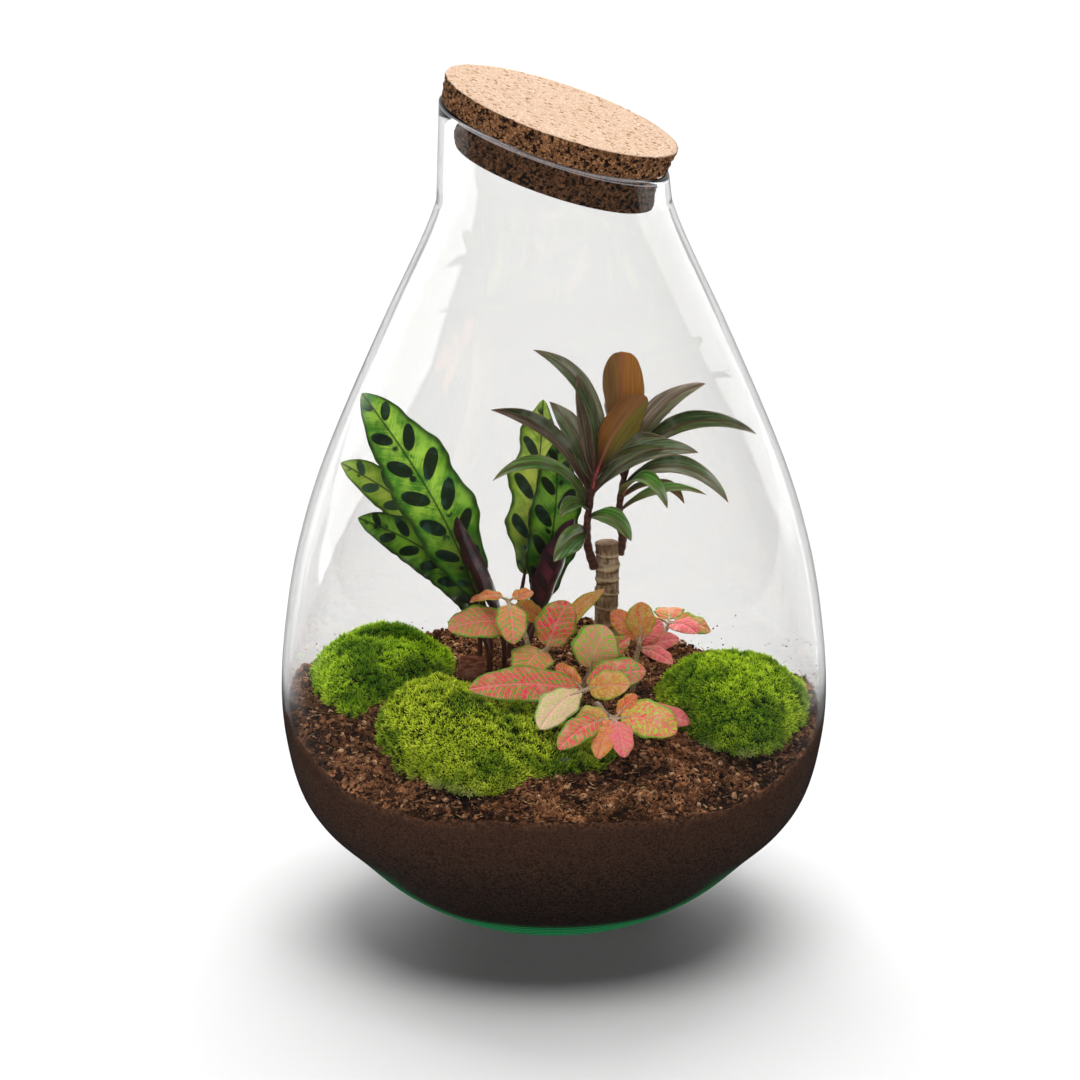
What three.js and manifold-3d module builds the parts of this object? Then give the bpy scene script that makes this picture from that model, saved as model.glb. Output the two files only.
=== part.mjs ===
// Closed plant terrarium: a round-bellied glass jar with a slanted mouth and a cork stopper,
// filled with soil, three moss cushions, a patterned calathea, a ti plant on a cane and
// small net-leaved fittonias. Millimetres, +Z up, origin at the centre of the glass base.

import * as THREE from "three";
import Module from "manifold-3d";

const wasm = await Module();
wasm.setup();

// ---------------------------------------------------------------- driving dimensions

// Glass: outer radius and height of the jar's wall, from the foot to under the neck.
const jarProfile = [
  [48, 0],
  [62, 6],
  [81, 18],
  [99, 34.5],
  [113, 48],
  [122, 63],
  [127.5, 84],
  [129.8, 108],
  [127.8, 140],
  [121.5, 178],
  [108.5, 221],
  [83, 281],
  [62, 326],
  [54.6, 345],
];
const jarWall = 3;
const jarFloor = 8.5;
const thickBaseTop = 45;
const neckRadius = 53.2;
const lipChamfer = 0.8;
const jarSides = 32;

// Slanted mouth: height on the axis and its slope along X and Y.
const mouthHeight = 375.4;
const mouthSlopeX = -0.329;
const mouthSlopeY = 0.0507;

// Cork stopper.
const corkHeadTop = 57;
const corkHeadUnder = 55.5;
const corkHeadThick = 12;
const corkPlugTop = 48.6;
const corkPlugEnd = 46.4;
const corkPlugLength = 18;
const corkSides = 36;

// Clearance between pieces that rest on each other.
const gap = 0.3;

// Soil: height against the glass all round and at the middle.
const soilWallHeight = 96;
const soilMound = 107;

// Leaf blade thickness.
const bladeThick = 0.8;

// ---------------------------------------------------------------- small helpers

const radians = Math.PI / 180;

function add(a, b, scale = 1) {
  return [a[0] + b[0] * scale, a[1] + b[1] * scale, a[2] + b[2] * scale];
}

function dot(a, b) {
  return a[0] * b[0] + a[1] * b[1] + a[2] * b[2];
}

function cross(a, b) {
  return [a[1] * b[2] - a[2] * b[1], a[2] * b[0] - a[0] * b[2], a[0] * b[1] - a[1] * b[0]];
}

function unit(a) {
  const size = Math.hypot(a[0], a[1], a[2]);
  return [a[0] / size, a[1] / size, a[2] / size];
}

function solid(points, faces) {
  const vertProperties = new Float32Array(points.flat());
  const triVerts = new Uint32Array(faces.flat());
  return new wasm.Manifold(new wasm.Mesh({ numProp: 3, vertProperties, triVerts }));
}

// One body out of several, without the specks that rounding can leave where they meet.
function join(solids) {
  const whole = solids.reduce((sum, piece) => sum.add(piece)).simplify(0.06);
  const bodies = whole.decompose().filter((body) => body.volume() > 1);
  return wasm.Manifold.compose(bodies);
}

// A closed body from a bottom pole, rings that run anticlockwise seen from above, and a top pole.
function ringSolid(startPole, rings, endPole) {
  const sides = rings[0].length;
  const points = [startPole, ...rings.flat(), endPole];
  const last = points.length - 1;
  const faces = [];
  for (let side = 0; side < sides; side += 1) {
    const next = (side + 1) % sides;
    faces.push([0, 1 + next, 1 + side]);
    for (let ring = 0; ring < rings.length - 1; ring += 1) {
      const low = 1 + ring * sides;
      const high = low + sides;
      faces.push([low + side, low + next, high + next]);
      faces.push([low + side, high + next, high + side]);
    }
    const top = 1 + (rings.length - 1) * sides;
    faces.push([last, top + side, top + next]);
  }
  return solid(points, faces);
}

function ringAt(sides, place) {
  const ring = [];
  for (let side = 0; side < sides; side += 1) {
    ring.push(place((side / sides) * 2 * Math.PI));
  }
  return ring;
}

// Catmull-Rom curve through a list of points, ends repeated.
function smooth(points, steps) {
  const out = [];
  const last = points.length - 1;
  for (let span = 0; span < last; span += 1) {
    const p0 = points[Math.max(span - 1, 0)];
    const p1 = points[span];
    const p2 = points[span + 1];
    const p3 = points[Math.min(span + 2, last)];
    for (let step = 0; step < steps; step += 1) {
      const t = step / steps;
      out.push(
        p1.map((value, axis) => {
          const enter = (p2[axis] - p0[axis]) / 2;
          const leave = (p3[axis] - value) / 2;
          const cubic = (2 * value - 2 * p2[axis] + enter + leave) * t ** 3;
          const square = (-3 * value + 3 * p2[axis] - 2 * enter - leave) * t ** 2;
          return cubic + square + enter * t + value;
        }),
      );
    }
  }
  out.push(points[last]);
  return out;
}

// A round stalk along a path, with a radius at each point of it.
function stalk(path, radii, sides) {
  const rings = path.map((point, place) => {
    const before = path[Math.max(place - 1, 0)];
    const after = path[Math.min(place + 1, path.length - 1)];
    const along = unit(add(after, before, -1));
    const side = unit(cross(Math.abs(along[2]) > 0.9 ? [1, 0, 0] : [0, 0, 1], along));
    const other = cross(along, side);
    return ringAt(sides, (turn) => {
      const out = add(point, side, Math.cos(turn) * radii[place]);
      return add(out, other, Math.sin(turn) * radii[place]);
    });
  });
  // Keep the rings in step when the reference axis changes along a bent path.
  for (let ring = 1; ring < rings.length; ring += 1) {
    let best = 0;
    let shortest = Infinity;
    for (let shift = 0; shift < sides; shift += 1) {
      const away = add(rings[ring][shift], rings[ring - 1][0], -1);
      if (dot(away, away) < shortest) {
        shortest = dot(away, away);
        best = shift;
      }
    }
    rings[ring] = [...rings[ring].slice(best), ...rings[ring].slice(0, best)];
  }
  return ringSolid(path[0], rings, path[path.length - 1]);
}

// ---------------------------------------------------------------- leaves

// Outline families: how the half width grows from the stalk and falls to the tip.
const outlines = {
  lance: { grow: 0.62, fall: 0.68 },
  oval: { grow: 0.5, fall: 0.6 },
  strap: { grow: 0.95, fall: 0.75 },
  paddle: { grow: 0.8, fall: 0.42 },
};

function halfWidth(leaf, t) {
  const { grow, fall } = outlines[leaf.outline];
  const peak = grow / (grow + fall);
  const most = peak ** grow * (1 - peak) ** fall;
  const width = (Math.max(t, 0) ** grow * Math.max(1 - t, 0) ** fall) / most;
  return Math.max((width * leaf.width) / 2, 0.45);
}

// The midrib runs in an upright plane from root to tip. It turns down by "bend" degrees on the
// way, early where "ease" is below 1 and late where it is above 1.
const ribSteps = 40;

function turned(leaf, s) {
  return leaf.ease < 1 ? 1 - (1 - s) ** (1 / leaf.ease) : s ** leaf.ease;
}

function midrib(leaf) {
  const chord = add(leaf.tip, leaf.root, -1);
  const span = Math.hypot(...chord);
  const heading = Math.atan2(chord[1], chord[0]);
  const bend = leaf.bend * radians;
  const path = [[0, 0]];
  for (let step = 0; step < ribSteps; step += 1) {
    const lean = -bend * turned(leaf, (step + 0.5) / ribSteps);
    const [reach, climb] = path[step];
    path.push([reach + Math.cos(lean) / ribSteps, climb + Math.sin(lean) / ribSteps]);
  }
  const [endReach, endClimb] = path[ribSteps];
  const length = span / Math.hypot(endReach, endClimb);
  const rise = Math.asin(chord[2] / span) - Math.atan2(endClimb, endReach);
  const flat = [Math.cos(heading), Math.sin(heading), 0];
  const at = (s) => {
    const place = Math.min(Math.floor(s * ribSteps), ribSteps - 1);
    const rest = s * ribSteps - place;
    const low = path[place];
    const high = path[place + 1];
    const u = low[0] + (high[0] - low[0]) * rest;
    const w = low[1] + (high[1] - low[1]) * rest;
    const reach = (u * Math.cos(rise) - w * Math.sin(rise)) * length;
    const climb = (u * Math.sin(rise) + w * Math.cos(rise)) * length;
    const lean = rise - bend * turned(leaf, s);
    const along = [flat[0] * Math.cos(lean), flat[1] * Math.cos(lean), Math.sin(lean)];
    const up = [-flat[0] * Math.sin(lean), -flat[1] * Math.sin(lean), Math.cos(lean)];
    const point = [leaf.root[0] + flat[0] * reach, leaf.root[1] + flat[1] * reach, leaf.root[2] + climb];
    return { point, along, up, side: cross(along, up) };
  };
  const middle = at(0.65);
  const roll = Math.atan2(-dot(middle.side, leaf.face), dot(middle.up, leaf.face));
  return { at, length, roll };
}

function blade(leaf) {
  const rib = midrib(leaf);
  const start = Math.min(leaf.stalk / rib.length, 0.9);
  const rows = leaf.rows;
  const columns = leaf.columns;
  const top = [];
  const bottom = [];
  for (let row = 0; row <= rows; row += 1) {
    const even = row / rows;
    const t = even + leaf.crowd * (0.5 - 0.5 * Math.cos(Math.PI * even) - even);
    const { point, up, side } = rib.at(start + (1 - start) * t);
    const across = add([0, 0, 0], side, Math.cos(rib.roll));
    const faceUp = add([0, 0, 0], up, Math.cos(rib.roll));
    const sideways = add(across, up, Math.sin(rib.roll));
    const normal = add(faceUp, side, -Math.sin(rib.roll));
    for (let column = 0; column <= columns; column += 1) {
      const v = (column / columns) * 2 - 1;
      const swing = Math.sin(2 * Math.PI * leaf.waves * t + (v < 0 ? 2.2 : 0));
      const half = halfWidth(leaf, t) * (1 + leaf.scallop * swing);
      const wave = leaf.wave * swing;
      const ease = Math.min(1, half / (0.25 * leaf.width));
      const lift = half * (leaf.fold * Math.abs(v) + leaf.cup * v * v) + wave * ease * v * v;
      const slope = leaf.fold * Math.sign(v) + 2 * leaf.cup * v + (2 * wave * ease * v) / half;
      const middle = add(add(point, sideways, v * half), normal, lift);
      const outward = unit(add(normal, sideways, -Math.max(-2, Math.min(2, slope))));
      top.push(add(middle, outward, bladeThick / 2));
      bottom.push(add(middle, outward, -bladeThick / 2));
    }
  }
  const line = columns + 1;
  const under = top.length;
  const faces = [];
  for (let row = 0; row < rows; row += 1) {
    for (let column = 0; column < columns; column += 1) {
      const a = row * line + column;
      const b = a + 1;
      const c = a + line + 1;
      const d = a + line;
      faces.push([a, b, c], [a, c, d]);
      faces.push([under + a, under + c, under + b], [under + a, under + d, under + c]);
    }
    const left = row * line;
    const right = left + columns;
    faces.push([left, left + line, under + left + line], [left, under + left + line, under + left]);
    faces.push([right, under + right + line, right + line], [right, under + right, under + right + line]);
  }
  for (let column = 0; column < columns; column += 1) {
    const end = rows * line + column;
    faces.push([column, under + column, under + column + 1], [column, under + column + 1, column + 1]);
    faces.push([end, under + end + 1, under + end], [end, end + 1, under + end + 1]);
  }
  return solid([...top, ...bottom], faces);
}

// The stalk of a leaf runs from its root a little way into the blade.
function leafStalk(leaf, radius, steps, sides, foot = []) {
  const rib = midrib(leaf);
  const end = Math.min((leaf.stalk + 1.2) / rib.length, 0.95);
  const path = [...foot];
  const radii = foot.map(() => radius);
  for (let step = 0; step <= steps; step += 1) {
    path.push(rib.at((end * step) / steps).point);
    radii.push(radius * (1 - (0.35 * step) / steps));
  }
  return stalk(path, radii, sides);
}

// ---------------------------------------------------------------- nodes

const terrarium = new THREE.Group();
terrarium.name = "terrarium";

function addNode(name, body, color, roughness, metalness = 0) {
  const mesh = body.simplify(0.06).getMesh();
  const geometry = new THREE.BufferGeometry();
  geometry.setAttribute("position", new THREE.BufferAttribute(mesh.vertProperties, 3));
  geometry.setIndex(new THREE.BufferAttribute(mesh.triVerts, 1));
  geometry.computeVertexNormals();
  const material = new THREE.MeshStandardMaterial({ color, roughness, metalness });
  const node = new THREE.Mesh(geometry, material);
  node.name = name;
  terrarium.add(node);
  return node;
}

// ---------------------------------------------------------------- glass jar

function mouthPlane(x, y) {
  return mouthHeight + mouthSlopeX * x + mouthSlopeY * y;
}

// Points set in from a profile along its normal, thicker towards the foot.
function setIn(profile, depth) {
  return profile.map((point, place) => {
    const before = profile[Math.max(place - 1, 0)];
    const after = profile[Math.min(place + 1, profile.length - 1)];
    const step = [after[0] - before[0], after[1] - before[1]];
    const size = Math.hypot(step[0], step[1]);
    const inward = place === 0 ? [0, 1] : [-step[1] / size, step[0] / size];
    const amount = depth(point[1]);
    return [point[0] + inward[0] * amount, point[1] + inward[1] * amount];
  });
}

function glassThickness(height) {
  const low = Math.max(0, 1 - height / thickBaseTop);
  return jarWall + (jarFloor - jarWall) * low ** 1.5;
}

const innerProfile = setIn(jarProfile, glassThickness);
const neckInner = neckRadius - jarWall;

function level([radius, height]) {
  return ringAt(jarSides, (turn) => [radius * Math.cos(turn), radius * Math.sin(turn), height]);
}

function slantedRing(sides, radius, below) {
  return ringAt(sides, (turn) => {
    const x = radius * Math.cos(turn);
    const y = radius * Math.sin(turn);
    return [x, y, mouthPlane(x, y) - below];
  });
}

const jarRings = [
  ...jarProfile.map(level),
  slantedRing(jarSides, neckRadius, lipChamfer),
  slantedRing(jarSides, neckRadius - lipChamfer, 0),
  slantedRing(jarSides, neckInner + lipChamfer, 0),
  slantedRing(jarSides, neckInner, lipChamfer),
  ...innerProfile.map(level).reverse(),
];
addNode("glass_jar", ringSolid([0, 0, 0], jarRings, [0, 0, jarFloor]), "#e5ebe8", 0.03);

// ---------------------------------------------------------------- cork stopper

const corkAxis = unit([-mouthSlopeX, -mouthSlopeY, 1]);
const corkAcross = unit(add([1, 0, 0], corkAxis, -corkAxis[0]));
const corkAway = cross(corkAxis, corkAcross);

function corkRing(radius, height) {
  return ringAt(corkSides, (turn) => {
    const centre = add([0, 0, mouthHeight + gap], corkAxis, height);
    const out = add(centre, corkAcross, Math.cos(turn) * radius);
    return add(out, corkAway, Math.sin(turn) * radius);
  });
}

const corkRings = [
  slantedRing(corkSides, corkPlugEnd - 1, corkPlugLength),
  slantedRing(corkSides, corkPlugEnd, corkPlugLength - 1),
  slantedRing(corkSides, corkPlugTop, -gap),
  corkRing(corkHeadUnder - 0.8, 0),
  corkRing(corkHeadUnder, 0.8),
  corkRing(corkHeadTop, corkHeadThick - 1),
  corkRing(corkHeadTop - 1, corkHeadThick),
];
const corkTop = add([0, 0, mouthHeight + gap], corkAxis, corkHeadThick);
const corkEnd = [0, 0, mouthHeight - corkPlugLength];
addNode("cork_stopper", ringSolid(corkEnd, corkRings, corkTop), "#c8a67e", 0.85);

// ---------------------------------------------------------------- leaves, stems and roots

// Each calathea leaf stands in the soil on its own stalk.
const calatheaLeaf = {
  outline: "lance", rows: 12, columns: 6, crowd: 0.55, fold: 0.18, cup: 0, wave: 1.8, waves: 3.5,
  scallop: 0.07, ease: 0.55,
};
const calatheaLeaves = [
  {
    ...calatheaLeaf, root: [-31, 31, 97], tip: [-90, 0, 253], bend: 30, stalk: 50, width: 34,
    face: [0.25, -1, 0.25],
  },
  {
    ...calatheaLeaf, root: [-31, 48, 97], tip: [-102.5, 23, 213.5], bend: 62, stalk: 48, width: 25,
    face: [0.3, -1, 0.5],
  },
  {
    ...calatheaLeaf, root: [-37, 38, 97], tip: [-93.5, 15, 188], bend: 78, stalk: 34, width: 24,
    face: [0.3, -1, 0.5], wave: 2,
  },
  {
    ...calatheaLeaf, root: [-23, 51, 97], tip: [-5, 62, 234], bend: -14, stalk: 52, width: 28,
    face: [-0.55, -1, 0.1], ease: 1,
  },
  {
    ...calatheaLeaf, root: [-18, 44, 97], tip: [1.5, 48, 217.5], bend: -26, stalk: 42, width: 25,
    face: [0.1, -1, 0.2], ease: 1,
  },
  {
    ...calatheaLeaf, root: [-24, 27, 97], tip: [-46, 3, 192], bend: 42, stalk: 38, width: 15,
    face: [-0.9, -0.5, 0.4], rows: 8, columns: 4, fold: 0, cup: 0.9, wave: 0,
  },
  {
    ...calatheaLeaf, root: [-16, 30, 97], tip: [10, 36, 181.5], bend: 6, stalk: 34, width: 14,
    face: [-0.3, 0.8, 0.2], rows: 8, columns: 4, fold: 0, cup: 0.8, wave: 0,
  },
  {
    ...calatheaLeaf, root: [-31, 22, 97], tip: [-44, 10, 146], bend: 50, stalk: 30, width: 11,
    face: [0.2, -0.6, 1], rows: 8, columns: 4, wave: 0.6,
  },
];

// The cane and the soft stems of the two shoots on it.
const canePath = [
  [26.4, 50, 94],
  [26.6, 50, 112],
  [25.6, 50, 130],
  [26.3, 50, 148],
  [26, 50, 166],
];
const caneRadius = 6.1;
const leftStem = [
  [19.8, 46.6, 154],
  [16.6, 43, 166],
  [16.2, 40, 178],
  [18, 38, 192],
  [20, 37, 206],
];
const rightStem = [
  [32.2, 50, 160],
  [33.6, 49, 168],
  [31.8, 47, 180],
  [33, 45, 194],
  [36, 44, 208],
];

// Every leaf of a shoot grows from a place "at" along its stem, 0 at the root and 1 at the top.
const shootLeaf = {
  outline: "strap", rows: 6, columns: 2, crowd: 0.1, fold: 0.32, cup: 0, wave: 0, waves: 0,
  scallop: 0, stalk: 0, ease: 1.2,
};
const leftLeaves = [
  { at: 0.98, tip: [-10, 40, 264], bend: 84, width: 10, face: [0.2, -1, 0.9] },
  { at: 0.92, tip: [11, 36, 253], bend: 10, width: 11, face: [0.3, -1, 0.1] },
  { at: 0.86, tip: [-2, 46, 237], bend: 34, width: 12, face: [0.3, -1, 0.4] },
  { at: 0.74, tip: [-30, 22, 239], bend: 62, width: 10, face: [0.2, -1, 0.9] },
  { at: 0.6, tip: [-29, 16, 206], bend: 112, width: 8, face: [0.2, -1, 0.9] },
  { at: 0.7, tip: [44, 16, 247], bend: 40, width: 18, face: [0.5, 0.9, 0.1], stalk: 16, outline: "lance" },
  { at: 0.86, tip: [61, 12, 221], bend: 84, width: 11, face: [0, -1, 0.9] },
  { at: 0.74, tip: [68, 4, 223], bend: 62, width: 13, face: [0, -1, 0.8] },
  { at: 0.62, tip: [3, 21, 187], bend: 90, width: 9, face: [0, -1, 0.9] },
  { at: 0.42, tip: [0, 19, 165], bend: 50, width: 12, face: [0.2, -1, 0.2] },
  { at: 0.55, tip: [37, 20, 175], bend: 90, width: 10, face: [0.2, -1, 0.6] },
  { at: 0.66, tip: [2, 78, 220], bend: 60, width: 11, face: [0, 1, 0.9] },
];
const rightLeaves = [
  { at: 0.84, tip: [33, 54, 260], bend: 6, width: 20, face: [0.1, 1, 0.1], stalk: 14, outline: "paddle" },
  { at: 0.96, tip: [74, 52, 245], bend: 62, width: 11, face: [0, -1, 0.9] },
  { at: 0.9, tip: [97, 22, 228], bend: 84, width: 10, face: [0, -1, 0.8] },
  { at: 0.74, tip: [83, 14, 196], bend: 104, width: 10, face: [0.1, -1, 0.8] },
  { at: 0.66, tip: [54, 14, 193], bend: 125, width: 9, face: [0.2, -1, 0.8] },
  { at: 0.54, tip: [74, 46, 191], bend: 70, width: 5, face: [0, -1, 0.9] },
  { at: 0.66, tip: [64, 62, 182], bend: 100, width: 7, face: [0, 1, 0.9] },
  { at: 0.86, tip: [58, 84, 222], bend: 76, width: 11, face: [0, 1, 0.9] },
  { at: 0.8, tip: [26, 88, 226], bend: 70, width: 12, face: [0, 1, 0.9] },
];

// Fittonia: upright or leaning stems out of the soil, each with its leaves.
const netLeaf = {
  outline: "oval", rows: 5, columns: 2, crowd: 0.4, fold: 0.1, cup: -0.1, wave: 0.35, waves: 2.5,
  stalk: 3, scallop: 0.05, face: [0, -1, 0.9], bend: 40, ease: 1,
};
const fittonias = [
  {
    stem: [[-9, 8, 95], [-9, 8, 112], [-14, 3, 134], [-22, 2, 151]],
    leaves: [
      { at: 0.7, tip: [-50, -10, 140], width: 16, bend: 50, face: [-0.1, -1, 1.1], stalk: 6 },
      { at: 0.97, tip: [-19, -20, 136], width: 15, bend: 60, face: [0.1, -1, 0.6] },
      { at: 1, tip: [-40, 6, 149], width: 9, bend: 70, face: [0.2, -0.3, 1] },
      { at: 0.99, tip: [-10, 10, 153], width: 8, bend: 20, face: [0.2, -0.4, 1] },
      { at: 0.95, tip: [-5, 10, 138], width: 10, bend: 30, face: [0.4, -1, 0.4] },
    ],
  },
  {
    stem: [[-2, -2, 95], [-2, -3, 110], [-4, -10, 130]],
    leaves: [
      { at: 1, tip: [-15, -32, 124], width: 18, bend: 56, face: [-0.1, -1, 0.9] },
      { at: 0.98, tip: [7, -10, 154], width: 18, bend: 16, face: [0.1, -1, 0.2] },
      { at: 0.96, tip: [24, 14, 153], width: 12, bend: 40, face: [-0.3, -0.4, 1] },
    ],
  },
  {
    stem: [[8, -18, 93], [8, -18, 107], [11, -30, 115], [14, -42, 120]],
    leaves: [
      { at: 1, tip: [-39, -64, 128], width: 19, bend: 24, face: [-0.1, -1, 0.9] },
      { at: 0.96, tip: [1, -36, 131], width: 9, bend: 10, face: [0.1, -1, 0.6] },
      { at: 1, tip: [1, -60, 119], width: 9, bend: 20, face: [0, -1, 1] },
      { at: 0.92, tip: [43, -36, 128], width: 16, bend: 40, face: [0, -1, 1] },
      { at: 1, tip: [35, -50, 125], width: 14, bend: 34, face: [0, -1, 0.9] },
      { at: 0.97, tip: [-6.5, -77, 113], width: 17, bend: 44, stalk: 8, face: [0, -1, 0.8] },
    ],
  },
  {
    stem: [[20, -22, 92], [20, -23, 107], [24, -42, 109], [28, -60, 112]],
    leaves: [
      { at: 1, tip: [10, -67, 110.5], width: 14, bend: 24, face: [0, -1, 0.9] },
      { at: 0.98, tip: [2, -88, 107], width: 13, bend: 50, stalk: 10, face: [0, -1, 0.8] },
      { at: 0.98, tip: [38, -56, 123], width: 8, bend: 10, face: [-0.5, -1, 0.4] },
      { at: 1, tip: [56, -68, 108], width: 19, bend: 60, face: [0.1, -1, 0.8] },
      { at: 0.85, tip: [64, -46, 106], width: 11, bend: 36, stalk: 12, face: [0.1, -1, 0.8] },
      { at: 1, tip: [20, -84, 101], width: 12, bend: 60, face: [0, -1, 0.5] },
      { at: 1, tip: [32, -82, 101], width: 12, bend: 60, face: [0.2, -1, 0.5] },
    ],
  },
  {
    stem: [[38, 8, 96], [38.5, 7, 112], [41, 1, 131]],
    leaves: [
      { at: 0.98, tip: [42, 6, 149], width: 14, bend: 10, face: [0, -1, 0.3] },
      { at: 0.95, tip: [27, 8, 143], width: 12, bend: 44, face: [0, -1, 0.7] },
      { at: 0.94, tip: [52, 10, 138], width: 11, bend: 30, face: [0, -1, 0.6] },
      { at: 0.9, tip: [56, -16, 125], width: 8, bend: 30, face: [0.2, -1, 0.7] },
      { at: 0.84, tip: [60, 4, 131], width: 9, bend: 30, face: [0.1, -1, 0.7] },
    ],
  },
  {
    stem: [[13, -6, 94], [13, -7, 108], [15, -14, 116], [17, -20, 121]],
    leaves: [
      { at: 0.99, tip: [25, -18, 144], width: 21, bend: 26, face: [-0.1, -1, 0.4] },
      { at: 0.98, tip: [36, -10, 136], width: 11, bend: 30, face: [0.2, -1, 0.6] },
      { at: 0.94, tip: [30, -34, 121], width: 9, bend: 40, face: [0.2, -1, 0.7] },
    ],
  },
  {
    stem: [[52, 52, 96], [52.5, 53, 112], [57, 60, 122]],
    leaves: [
      { at: 1, tip: [80, 66, 124], width: 15, bend: 50, face: [0, 0.4, 1] },
      { at: 0.98, tip: [58, 84, 122], width: 15, bend: 50, face: [0, 0.6, 1] },
      { at: 0.97, tip: [40, 72, 131], width: 12, bend: 40, face: [0, 0.6, 1] },
      { at: 0.95, tip: [70, 42, 122], width: 12, bend: 50, face: [0, -0.6, 1] },
    ],
  },
];

// The place a given share of the way along a stem's curve.
function along(curve, share) {
  const place = Math.min(Math.floor(share * (curve.length - 1)), curve.length - 2);
  const rest = share * (curve.length - 1) - place;
  return add(curve[place], add(curve[place + 1], curve[place], -1), rest);
}

// ---------------------------------------------------------------- moss

// Cushion outlines on their flat undersides, in plan.
const mossCushions = [
  {
    name: "moss_left", base: 94, color: "#6f9a2b", centre: [-84, 20], height: 36, lean: [0, 0],
    outline: [
      [-49, 34], [-57, 54], [-76, 66], [-98, 60], [-114, 42], [-118, 18], [-112, -8], [-98, -22],
      [-76, -16], [-56, 4],
    ],
  },
  {
    name: "moss_front", base: 88, color: "#86a63a", centre: [-32, -60], height: 35, lean: [-0.34, 0.12],
    outline: [
      [4, -36], [-22, -27], [-52, -22], [-74, -28], [-82, -46], [-73, -68], [-54, -88], [-34, -99],
      [-8, -90], [16, -82], [28, -68], [22, -50],
    ],
  },
  {
    name: "moss_right", base: 95, color: "#6c9427", centre: [84, -20], height: 35, lean: [0, 0],
    outline: [
      [118, -4], [104, 14], [80, 18], [58, 12], [50, -8], [56, -34], [74, -56], [92, -64], [108, -46],
      [117, -26],
    ],
  },
];

function lumps(x, y) {
  const broad = Math.sin(0.11 * x + 1.3) * Math.sin(0.13 * y + 0.4);
  const fine = Math.sin(0.31 * x - 0.23 * y + 0.7) * Math.sin(0.19 * x + 0.29 * y);
  return 1.2 * broad + 0.8 * fine;
}

function closedOutline(outline, count) {
  const wrapped = [outline[outline.length - 1], ...outline, outline[0], outline[1]];
  const steps = 6;
  const dense = smooth(wrapped, steps).slice(steps, steps * (outline.length + 1));
  const out = [];
  for (let place = 0; place < count; place += 1) {
    out.push(dense[Math.floor((place / count) * dense.length)]);
  }
  return out;
}

function outlineRing(cushion, edge, share, height) {
  return edge.map(([x, y]) => {
    const px = cushion.centre[0] + (x - cushion.centre[0]) * share;
    const py = cushion.centre[1] + (y - cushion.centre[1]) * share;
    return [px, py, height(px, py)];
  });
}

function mossBody(cushion) {
  const edge = closedOutline(cushion.outline, 26);
  const [cx, cy] = cushion.centre;
  const dome = (share) => (x, y) => {
    const tall = cushion.height + cushion.lean[0] * (x - cx) + cushion.lean[1] * (y - cy);
    const round = Math.max(0, 1 - share ** 2.4) ** 0.62;
    return cushion.base + 9 + (tall - 9) * round + lumps(x * 1.4, y * 1.4) * (1 - share);
  };
  const shares = [0.93, 0.8, 0.62, 0.42, 0.21];
  const rings = [
    outlineRing(cushion, edge, 0.97, () => cushion.base),
    outlineRing(cushion, edge, 1, () => cushion.base + 5),
    ...shares.map((share) => outlineRing(cushion, edge, share, dome(share))),
  ];
  const peak = [cx, cy, dome(0)(cx, cy)];
  return ringSolid([cx, cy, cushion.base], rings, peak);
}

// The pocket in the soil that a cushion sits in.
function mossPocket(cushion) {
  const edge = closedOutline(cushion.outline, 26);
  const [cx, cy] = cushion.centre;
  const grown = edge.map(([x, y]) => {
    const size = Math.hypot(x - cx, y - cy);
    return [x + ((x - cx) / size) * 0.5, y + ((y - cy) / size) * 0.5];
  });
  const floor = cushion.base - gap;
  const rings = [
    grown.map(([x, y]) => [x, y, floor]),
    grown.map(([x, y]) => [x, y, 190]),
  ];
  return ringSolid([cx, cy, floor], rings, [cx, cy, 190]);
}

// ---------------------------------------------------------------- soil

function wallHeight(turn) {
  const first = -2.8 * Math.cos(turn) + 10.2 * Math.sin(turn);
  const second = 6 * Math.cos(2 * turn) - 1.5 * Math.sin(2 * turn);
  return soilWallHeight + first + second + 5 * Math.cos(4 * turn);
}

function innerRadius(height) {
  for (let place = 1; place < innerProfile.length; place += 1) {
    const [r0, z0] = innerProfile[place - 1];
    const [r1, z1] = innerProfile[place];
    if (height <= z1) {
      return r0 + ((r1 - r0) * (height - z0)) / (z1 - z0);
    }
  }
  return neckInner;
}

function soilRing(share) {
  return ringAt(jarSides, (turn) => {
    const wall = wallHeight(turn);
    const reach = innerRadius(wall) - gap;
    const x = Math.cos(turn) * reach * share;
    const y = Math.sin(turn) * reach * share;
    const rise = 1 - share ** 1.6;
    const rough = share > 0.97 ? 0 : 1;
    return [x, y, wall + (soilMound - wall) * rise + lumps(x, y) * rough];
  });
}

const soilProfile = setIn(innerProfile, () => gap).slice(0, 6);
const lowTop = soilProfile[5][1];
const soilRings = [
  ...soilProfile.map(level),
  ...[0.5, 1].map((share) =>
    ringAt(jarSides, (turn) => {
      const height = lowTop + (wallHeight(turn) - lowTop) * share;
      const reach = innerRadius(height) - gap;
      return [reach * Math.cos(turn), reach * Math.sin(turn), height];
    }),
  ),
  ...[0.95, 0.84, 0.66, 0.46, 0.24].map(soilRing),
];
const soilBlock = ringSolid([0, 0, jarFloor + gap], soilRings, [0, 0, soilMound + lumps(0, 0)]);

// Straight round holes for everything that is planted.
function plantHole(root, radius, sides) {
  const low = [root[0], root[1], root[2] - gap];
  const high = [root[0], root[1], 150];
  return stalk([low, high], [radius, radius], sides);
}

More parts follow.
